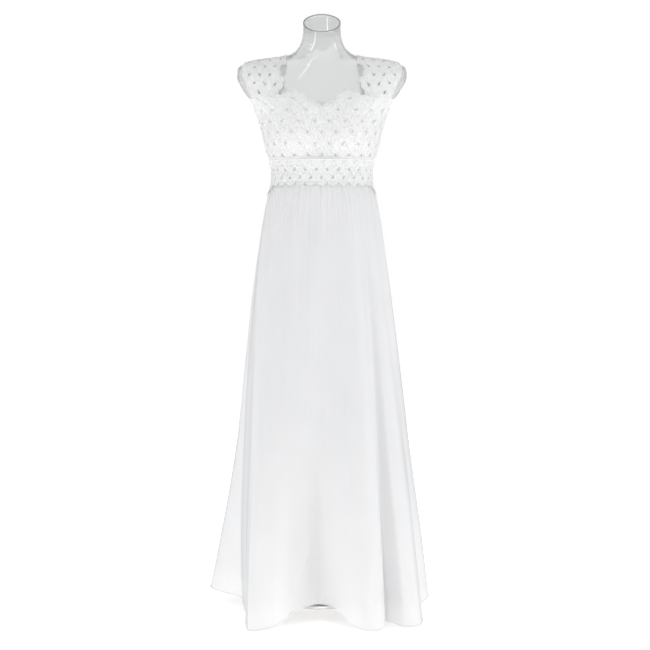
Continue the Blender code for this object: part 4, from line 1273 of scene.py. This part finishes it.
def turned_piece(name, y, profile, node):
    """A piece turned round an upright axis at y. Its profile runs from the underside's middle, out and up."""
    sides = 96
    turns = np.linspace(0, math.tau, sides, endpoint=False)
    points = [
        (radius * math.cos(t), y + radius * math.sin(t), height) for radius, height in profile for t in turns
    ]
    faces = grid_faces(sides, len(profile), closed=True)
    if profile[0] != profile[-1]:
        faces.append(tuple(reversed(range(sides))))
        faces.append(tuple(range(len(points) - sides, len(points))))
    obj = add_mesh(name, points, faces, M["steel"])
    obj.data.set_sharp_from_angle(angle=math.radians(35))
    placed(obj, [node])


def make_stand():
    """Base plate, pole, socket and the flange that carries the form."""
    bevel = 0.0015
    plate = [
        (BASE_RADIUS - 0.0006, 0.0),
        (BASE_RADIUS, 0.0006),
        (BASE_RADIUS, BASE_THICK - bevel),
        (BASE_RADIUS - bevel * 0.3, BASE_THICK - bevel * 0.3),
        (BASE_RADIUS - bevel, BASE_THICK),
    ]
    turned_piece("stand_plate", BASE_Y, plate, "base_plate")
    low, flange = BASE_THICK + SEAM_GAP, BODY[0].height - SEAM_GAP - FLANGE_THICK
    turned_piece("stand_pole", POLE_Y, [(POLE_RADIUS, low), (POLE_RADIUS, flange - SEAM_GAP)], "pole")
    bore, top = POLE_RADIUS + SEAM_GAP, low + SOCKET_TALL
    socket = [
        (bore, low), (SOCKET_RADIUS, low), (SOCKET_TOP_RADIUS + 0.0006, top - 0.002),
        (SOCKET_TOP_RADIUS - 0.0010, top), (bore, top), (bore, low),
    ]
    turned_piece("stand_socket", POLE_Y, socket, "base_socket")
    rim = [
        (FLANGE_RADIUS - 0.001, flange), (FLANGE_RADIUS, flange + 0.001),
        (FLANGE_RADIUS, flange + FLANGE_THICK - 0.001), (FLANGE_RADIUS - 0.001, flange + FLANGE_THICK),
    ]
    turned_piece("stand_flange", POLE_Y, rim, "form_flange")


# Satin and chiffon


def grid_shell(name, surface, angle, height, inner, outer, material, flat_radius):
    """A closed wall of cloth from a grid of places on a surface."""
    outside = moved_level(surface, angle, height, np.full(angle.shape, outer), ANGLE_STEP)
    inside = moved_level(surface, angle, height, np.full(angle.shape, inner), ANGLE_STEP)
    rows, columns = angle.shape
    uv = np.stack([np.radians(angle) * flat_radius, height], -1).reshape(-1, 2)
    points = np.concatenate([outside.reshape(-1, 3), inside.reshape(-1, 3)])
    return add_mesh(name, points, shell_faces(columns, rows), material, uv=np.concatenate([uv, uv]))


def make_bodice():
    """Front and two backs of the satin under the lace, each with a rolled top edge and its stitching."""
    for node, low, high, top, columns, flat, area in (
        ("bodice_front", -SIDE_SEAM, SIDE_SEAM, LINING_FRONT_TOP, 97, (0.50, 0.15), 0.064),
        ("bodice_back_left", SIDE_SEAM, CENTRE_BACK, LINING_BACK_TOP, 49, (0.24, 0.115), 0.0185),
        ("bodice_back_right", -CENTRE_BACK, -SIDE_SEAM, LINING_BACK_TOP, 49, (0.24, 0.115), 0.0185),
    ):
        curve = Smooth([row.angle for row in top], [row.height for row in top])
        angles = np.linspace(low + SEAM_ANGLE, high - SEAM_ANGLE, columns)
        angle, share = np.meshgrid(angles, np.linspace(0, 1, 40))
        height = BODICE_BOTTOM + (curve(np.abs(angle)) - BODICE_BOTTOM) * share
        panel = grid_shell(
            node + "_panel", body_place, angle, height, LINING_INNER, LINING_OUTER, M["satin"], FLAT_RADIUS
        )
        placed(panel, [node])
        wall = np.full(angles.shape, (LINING_INNER + LINING_OUTER) / 2)
        edge = moved_level(body_place, angles, curve(np.abs(angles)), wall, ANGLE_STEP)
        rolled = placed(cords(node + "_edge", [edge], M["satin"], TOP_ROLL, 8))
        wall = np.full(angles.shape, LINING_OUTER)
        row = moved_level(body_place, angles, curve(np.abs(angles)) - TOP_STITCH_DROP, wall, ANGLE_STEP)
        sewn = placed(stitches(node + "_stitches", [row], M["thread"]))


def make_placket():
    """The strip over the closed fastening down the centre back."""
    angles = np.linspace(CENTRE_BACK - PLACKET_HALF_ANGLE, CENTRE_BACK + PLACKET_HALF_ANGLE, 9)
    angle, height = np.meshgrid(angles, np.linspace(BODICE_BOTTOM, PLACKET_TOP, 24))
    strip = grid_shell(
        "back_placket_strip", body_place, angle, height, PLACKET_INNER, PLACKET_OUTER, M["satin"], FLAT_RADIUS
    )
    placed(strip, ["back_placket"])
    rows = []
    for turn in (-0.75, 0.75):
        heights = np.linspace(BODICE_BOTTOM + PLACKET_STITCH_INSET, PLACKET_TOP - PLACKET_STITCH_INSET, 20)
        column = np.full(heights.shape, CENTRE_BACK + turn * PLACKET_HALF_ANGLE)
        wall = np.full(heights.shape, PLACKET_OUTER)
        rows.append(moved_level(body_place, column, heights, wall, ANGLE_STEP))
    sewn = placed(stitches("back_placket_stitches", rows, M["thread"]))


def skirt_panel(name, part, surface, columns, rows, foot, slot):
    """(panel, its lowest row of points) of one gore. Its rows are closer together towards the waist."""
    share = (part.high - part.low) / 180
    angles = np.linspace(part.low + SEAM_ANGLE, part.high - SEAM_ANGLE, int(columns * share))
    angle, rise = np.meshgrid(angles, foot + (1 - foot) * np.linspace(0, 1, rows) ** 0.85)
    points = surface(angle, rise)
    uv = np.stack([np.radians(angle) * SKIRT_FLAT_RADIUS, rise * SKIRT_FLAT_LENGTH], -1)
    panel = add_mesh(name + "_panel", points, grid_faces(len(angles), rows), M[slot], uv)
    return placed(panel, [name]), points[0]


def make_skirt():
    """Front and two backs of the chiffon over the lining, with their hems."""
    for part in SKIRT_PARTS:
        name = "skirt_" + part.name
        panel, line = skirt_panel(name, part, creased_place, CHIFFON_COLUMNS, CHIFFON_ROWS, 0.0, "chiffon")
        line = line + np.array([0, 0, HEM_RADIUS])
        hem = placed(cords(name + "_hem", [line], M["chiffon_hem"], HEM_RADIUS, 8))
    for part in SKIRT_PARTS:
        name = "lining_" + part.name
        panel, line = skirt_panel(
            name, part, lining_place, LINING_COLUMNS, LINING_ROWS, LINING_HEM_RISE, "satin"
        )
        hem = placed(cords(name + "_hem", [line], M["satin"], LINING_HEM_RADIUS, 6))


# Materials


def new_material(name, colour, roughness, **sockets):
    """(material, its tree, its Principled shader)"""
    material = bpy.data.materials.new(name)
    material.use_nodes = True
    shader = material.node_tree.nodes["Principled BSDF"]
    shader.inputs["Base Color"].default_value = (*colour, 1.0)
    shader.inputs["Roughness"].default_value = roughness
    for label, value in sockets.items():
        shader.inputs[label].default_value = value
    return material, material.node_tree, shader


def new_shader_group(name, inputs, outputs):
    """(group, its input node, its output node)"""
    group = bpy.data.node_groups.new(name, "ShaderNodeTree")
    for label, kind, value in inputs:
        socket = group.interface.new_socket(label, in_out="INPUT", socket_type=kind)
        if value is not None:
            socket.default_value = value
    for label, kind in outputs:
        group.interface.new_socket(label, in_out="OUTPUT", socket_type=kind)
    return group, group.nodes.new("NodeGroupInput"), group.nodes.new("NodeGroupOutput")


def weave_group():
    """Crossing threads, slightly uneven, and soft colour change over the cloth: a random cloudy tone, and
    painted shade where the threads lie low.
    """
    group, given, out = new_shader_group(
        "weave",
        [
            ("Flat", "NodeSocketVector", None),
            ("Threads per metre", "NodeSocketFloat", 1500.0),
            ("Thread colour", "NodeSocketColor", (0.8, 0.8, 0.8, 1)),
            ("Shaded colour", "NodeSocketColor", (0.7, 0.7, 0.7, 1)),
            ("Cloud size", "NodeSocketFloat", 9.0),
        ],
        [("Colour", "NodeSocketColor"), ("Height", "NodeSocketFloat")],
    )
    flat, pace = given.outputs["Flat"], given.outputs["Threads per metre"]
    turns = add_node(group, "ShaderNodeVectorMath", {0: flat, "Scale": pace}, operation="SCALE").outputs[0]
    parts = add_node(group, "ShaderNodeSeparateXYZ", {0: turns})
    warp = maths(group, "SINE", parts.outputs["X"])
    weft = maths(group, "SINE", parts.outputs["Y"])
    crossed = maths(group, "MULTIPLY", warp, weft)
    slub = add_node(group, "ShaderNodeTexNoise", {"Vector": turns, "Scale": 0.25, "Detail": 2.0})
    height = maths(group, "MULTIPLY_ADD", crossed, slub.outputs["Fac"], 0.5)
    cloud = add_node(
        group, "ShaderNodeTexNoise", {"Vector": flat, "Scale": given.outputs["Cloud size"], "Detail": 3.0}
    )
    # Painted shade: the colour darkens towards the shaded colour where the weave lies low, on top of the
    # random cloud tone.
    mixed = maths(group, "MULTIPLY_ADD", height, 0.35, 0.1)
    both = maths(group, "ADD", cloud.outputs["Fac"], mixed, use_clamp=True)
    colour = add_node(
        group, "ShaderNodeMix",
        {0: both, 6: given.outputs["Shaded colour"], 7: given.outputs["Thread colour"]},
        data_type="RGBA",
    )
    group.links.new(colour.outputs[2], out.inputs["Colour"])
    group.links.new(height, out.inputs["Height"])
    return group


def net_group():
    """A mesh of fine threads in three directions. Mask is 1 on a thread."""
    group, given, out = new_shader_group(
        "net",
        [
            ("Flat", "NodeSocketVector", None),
            ("Cells per metre", "NodeSocketFloat", 620.0),
            ("Thread share", "NodeSocketFloat", 0.44),
        ],
        [("Mask", "NodeSocketFloat")],
    )
    masks = []
    for turn in (0.0, 60.0, 120.0):
        direction = (math.cos(math.radians(turn)), math.sin(math.radians(turn)), 0.0)
        along = add_node(
            group, "ShaderNodeVectorMath", {0: given.outputs["Flat"], 1: direction}, operation="DOT_PRODUCT"
        )
        cells = maths(group, "MULTIPLY", along.outputs["Value"], given.outputs["Cells per metre"])
        masks.append(maths(group, "LESS_THAN", maths(group, "FRACT", cells), given.outputs["Thread share"]))
    both = maths(group, "MAXIMUM", maths(group, "MAXIMUM", masks[0], masks[1]), masks[2])
    group.links.new(both, out.inputs["Mask"])
    return group


def lit_through(tree, cover, share):
    """The cover of a thin piece, with most of its own shadow left out."""
    path = add_node(tree, "ShaderNodeLightPath")
    unseen = maths(tree, "MAXIMUM", path.outputs["Is Shadow Ray"], path.outputs["Is Diffuse Ray"])
    less = add_node(tree, "ShaderNodeMapRange", {"Value": unseen, "To Min": 1.0, "To Max": 1 - share})
    return maths(tree, "MULTIPLY", cover, less.outputs["Result"])


def cloth(name, groups, colour, shaded, threads, bump, roughness, edge_shade, **sockets):
    """A woven cloth over its flat map, with painted shade: its colour turns towards a dark grey where the
    surface turns away from view, which darkens its outlines.
    """
    material, tree, shader = new_material(name, colour, roughness, **sockets)
    flat = add_node(tree, "ShaderNodeUVMap", uv_map="flat")
    weave = add_node(tree, "ShaderNodeGroup", node_tree=groups["weave"])
    tree.links.new(flat.outputs["UV"], weave.inputs["Flat"])
    weave.inputs["Threads per metre"].default_value = threads
    weave.inputs["Thread colour"].default_value = (*colour, 1)
    weave.inputs["Shaded colour"].default_value = (*shaded, 1)
    raised = add_node(
        tree, "ShaderNodeBump", {"Height": weave.outputs["Height"], "Strength": 0.5, "Distance": bump}
    )
    # Painted shade: the colour is mixed towards the dark grey as the surface turns away from view.
    facing = add_node(tree, "ShaderNodeLayerWeight", {"Blend": 0.5})
    turned = add_node(
        tree,
        "ShaderNodeMapRange",
        {
            "Value": facing.outputs["Facing"], "From Min": PAINTED_EDGE_SHADE_START, "From Max": 1.0,
            "To Min": 0.0, "To Max": edge_shade,
        },
    )
    shade = add_node(
        tree,
        "ShaderNodeMix",
        {0: turned.outputs["Result"], 6: weave.outputs["Colour"], 7: PAINTED_EDGE_SHADE},
        data_type="RGBA",
    )
    tree.links.new(shade.outputs[2], shader.inputs["Base Color"])
    tree.links.new(raised.outputs["Normal"], shader.inputs["Normal"])
    return material


def lace_net(group):
    """Fine threads with nothing between them."""
    net, tree, shader = new_material("lace net", (0.90, 0.905, 0.91), 0.8)
    flat = add_node(tree, "ShaderNodeUVMap", uv_map="flat")
    mesh = add_node(tree, "ShaderNodeGroup", node_tree=group)
    tree.links.new(flat.outputs["UV"], mesh.inputs["Flat"])
    tree.links.new(lit_through(tree, mesh.outputs["Mask"], 0.7), shader.inputs["Alpha"])
    return net


def twisted(name, colour, roughness):
    """A twisted thread or cord."""
    material, tree, shader = new_material(name, colour, roughness)
    place = add_node(tree, "ShaderNodeTexCoord")
    twist = add_node(
        tree, "ShaderNodeTexNoise", {"Vector": place.outputs["Object"], "Scale": 900.0, "Detail": 1.0}
    )
    raised = add_node(
        tree, "ShaderNodeBump", {"Height": twist.outputs["Fac"], "Strength": 0.4, "Distance": 0.0002}
    )
    tree.links.new(raised.outputs["Normal"], shader.inputs["Normal"])
    return material


def clear_plastic(name, face, edge, least):
    """A clear shell, denser and less shiny where it turns away, and thicker at the neck's top. Its grey is
    partly the plastic's own tint and partly painted shade for the dimmer surroundings a real shell shows, and
    the darker grey towards its edges is painted shade.
    """
    sockets = {"IOR": PLASTIC_IOR, "Coat IOR": PLASTIC_COAT_IOR, "Coat Roughness": 0.04}
    material, tree, shader = new_material(name, face, 0.05, **sockets)
    facing = add_node(tree, "ShaderNodeLayerWeight", {"Blend": 0.5})
    turned = add_node(
        tree, "ShaderNodeMapRange",
        {"Value": facing.outputs["Facing"], "From Min": PLASTIC_EDGE_START, "From Max": 1.0},
    ).outputs["Result"]
    # Painted shade: the colour turns from the face grey to the darker edge grey where the shell turns away
    # from view.
    tint = add_node(tree, "ShaderNodeMix", {0: turned, 6: (*face, 1), 7: (*edge, 1)}, data_type="RGBA")
    tree.links.new(tint.outputs[2], shader.inputs["Base Color"])
    for label, most in (("Specular IOR Level", 0.5), ("Coat Weight", 1.0)):
        shine = add_node(tree, "ShaderNodeMapRange", {"Value": turned, "To Min": most, "To Max": 0.0})
        tree.links.new(shine.outputs["Result"], shader.inputs[label])
    place = add_node(tree, "ShaderNodeTexCoord")
    height = add_node(tree, "ShaderNodeSeparateXYZ", {0: place.outputs["Object"]})
    thick = add_node(
        tree, "ShaderNodeMapRange",
        {
            "Value": height.outputs["Z"], "From Min": THICK_NECK_LOW, "From Max": THICK_NECK_HIGH,
            "To Min": least, "To Max": least + THICK_NECK_COVER,
        },
    )
    cover = add_node(
        tree, "ShaderNodeMapRange",
        {"Value": turned, "To Min": thick.outputs["Result"], "To Max": PLASTIC_EDGE_COVER},
    )
    tree.links.new(lit_through(tree, cover.outputs["Result"], 0.85), shader.inputs["Alpha"])
    return material


def brushed_steel():
    """Steel brushed round its upright axis."""
    steel, tree, shader = new_material("brushed steel", (0.80, 0.81, 0.82), 0.40, Metallic=0.4)
    place = add_node(tree, "ShaderNodeTexCoord")
    stretched = add_node(
        tree, "ShaderNodeMapping", {"Vector": place.outputs["Object"], "Scale": (40.0, 40.0, 900.0)}
    )
    brushed = add_node(
        tree, "ShaderNodeTexNoise", {"Vector": stretched.outputs["Vector"], "Scale": 1.0, "Detail": 4.0}
    )
    rough = add_node(
        tree, "ShaderNodeMapRange", {"Value": brushed.outputs["Fac"], "To Min": 0.22, "To Max": 0.42}
    )
    raised = add_node(
        tree, "ShaderNodeBump", {"Height": brushed.outputs["Fac"], "Strength": 0.15, "Distance": 0.0002}
    )
    tree.links.new(rough.outputs["Result"], shader.inputs["Roughness"])
    tree.links.new(raised.outputs["Normal"], shader.inputs["Normal"])
    return steel


def make_materials():
    """Every finish, by its short name."""
    groups = {"weave": weave_group(), "net": net_group()}
    made = {}
    # Each cloth's number after its roughness is how far its colour turns to painted shade at its edges.
    made["chiffon"] = cloth(
        "chiffon", groups, (0.83, 0.835, 0.85), (0.78, 0.785, 0.80), 3500, 0.0003, 0.85, 0.40,
        **{"Alpha": 0.95},
    )
    made["chiffon_hem"] = cloth(
        "chiffon hem", groups, (0.86, 0.865, 0.88), (0.80, 0.805, 0.82), 3500, 0.0003, 0.85, 0.40,
    )
    made["satin"] = cloth(
        "lining satin", groups, (0.86, 0.86, 0.87), (0.80, 0.80, 0.81), 5200, 0.00015, 0.42, 0.20,
        **{"Sheen Weight": 0.1},
    )
    made["lace"] = cloth(
        "lace thread", groups, (0.81, 0.815, 0.82), (0.775, 0.78, 0.79), 2200, 0.0003, 0.85, 0.10,
    )
    made["net"] = lace_net(groups["net"])
    made["cord"] = twisted("lace cord", (0.84, 0.845, 0.855), 0.75)
    made["thread"] = twisted("sewing thread", (0.85, 0.855, 0.865), 0.6)
    # The face greys are partly the plastic's tint and partly painted shade. The darker edge greys, and the
    # darker finish of the rim, are painted shade.
    made["clear"] = clear_plastic("clear plastic", (0.34, 0.35, 0.36), (0.20, 0.21, 0.22), 0.18)
    made["clear_edge"] = clear_plastic("clear plastic edge", (0.14, 0.15, 0.16), (0.05, 0.05, 0.06), 0.35)
    made["steel"] = brushed_steel()
    return made


# Studio


def add_light(row):
    """A soft light that the camera doesn't see. One for shine alone only shows in glossy surfaces."""
    light = bpy.data.lights.new(row.name, "AREA")
    light.energy, light.shape = row.energy, "RECTANGLE"
    light.size, light.size_y = row.size
    light.color, light.spread = row.colour, math.radians(row.spread)
    obj = bpy.data.objects.new(row.name, light)
    obj.location = row.place
    obj.rotation_euler = (Vector(row.aim) - Vector(row.place)).to_track_quat("-Z", "Y").to_euler()
    obj.visible_camera = False
    obj.visible_diffuse = not row.shine_only
    bpy.context.scene.collection.objects.link(obj)


def make_studio():
    """White sky and floor, soft lights and the camera."""
    world = bpy.data.worlds.new("studio")
    bpy.context.scene.world = world
    world.use_nodes = True
    sky = world.node_tree
    back = sky.nodes["Background"]
    back.inputs["Color"].default_value = (1.0, 1.0, 1.0, 1.0)
    seen = add_node(sky, "ShaderNodeLightPath")
    strength = add_node(
        sky, "ShaderNodeMapRange",
        {"Value": seen.outputs["Is Camera Ray"], "To Min": SKY_LIGHT, "To Max": 1.0},
    )
    sky.links.new(strength.outputs["Result"], back.inputs["Strength"])
    glow = {"Emission Color": (1, 0.99, 0.97, 1), "Emission Strength": FLOOR_GLOW}
    floor_material, tree, shader = new_material("floor", (0.93, 0.93, 0.93), 0.9, **glow)
    place = add_node(tree, "ShaderNodeTexCoord")
    grain = add_node(tree, "ShaderNodeTexNoise", {"Vector": place.outputs["Object"], "Scale": 3.0})
    tint = add_node(
        tree, "ShaderNodeMix", {0: grain.outputs["Fac"], 6: (0.92, 0.92, 0.92, 1), 7: (0.94, 0.94, 0.94, 1)},
        data_type="RGBA",
    )
    tree.links.new(tint.outputs[2], shader.inputs["Base Color"])
    turns = [math.tau * i / FLOOR_SIDES for i in range(FLOOR_SIDES)]
    ring = [(FLOOR_RADIUS * math.cos(turn), FLOOR_RADIUS * math.sin(turn), 0) for turn in turns]
    floor = add_mesh("floor", ring, [tuple(range(FLOOR_SIDES))], floor_material)
    for row in LIGHTS:
        add_light(row)
    bpy.context.scene.view_settings.view_transform = "Standard"
    bpy.context.scene.cycles.transparent_max_bounces = CLEAR_LAYERS
    camera_data = bpy.data.cameras.new("camera")
    camera_data.lens, camera_data.sensor_width = CAMERA_LENS, CAMERA_SENSOR
    camera = bpy.data.objects.new("camera", camera_data)
    camera.location = CAMERA_PLACE
    camera.rotation_euler = (math.radians(90 - CAMERA_DOWN), 0, 0)
    bpy.context.scene.collection.objects.link(camera)
    bpy.context.scene.camera = camera


M = make_materials()
TREES = {"cord": cord_tree(), "stitch": stitch_tree(), "lash": lash_tree(), "motif": motif_tree()}
MOTIFS = {
    "rose": flower_template("rose", 6, 36, FLOWER_RADIUS),
    "daisy": flower_template("daisy", 5, 30, FLOWER_RADIUS * 0.9),
    "bud": flower_template("bud", 3, 12, BUD_RADIUS),
    "leaf": leaf_template("leaf", LEAF_LENGTH, LEAF_WIDTH),
}
make_studio()
make_form()
make_stand()
make_bodice()
make_placket()
make_overlay()
make_band()
make_straps()
make_waist_seam()
make_skirt()
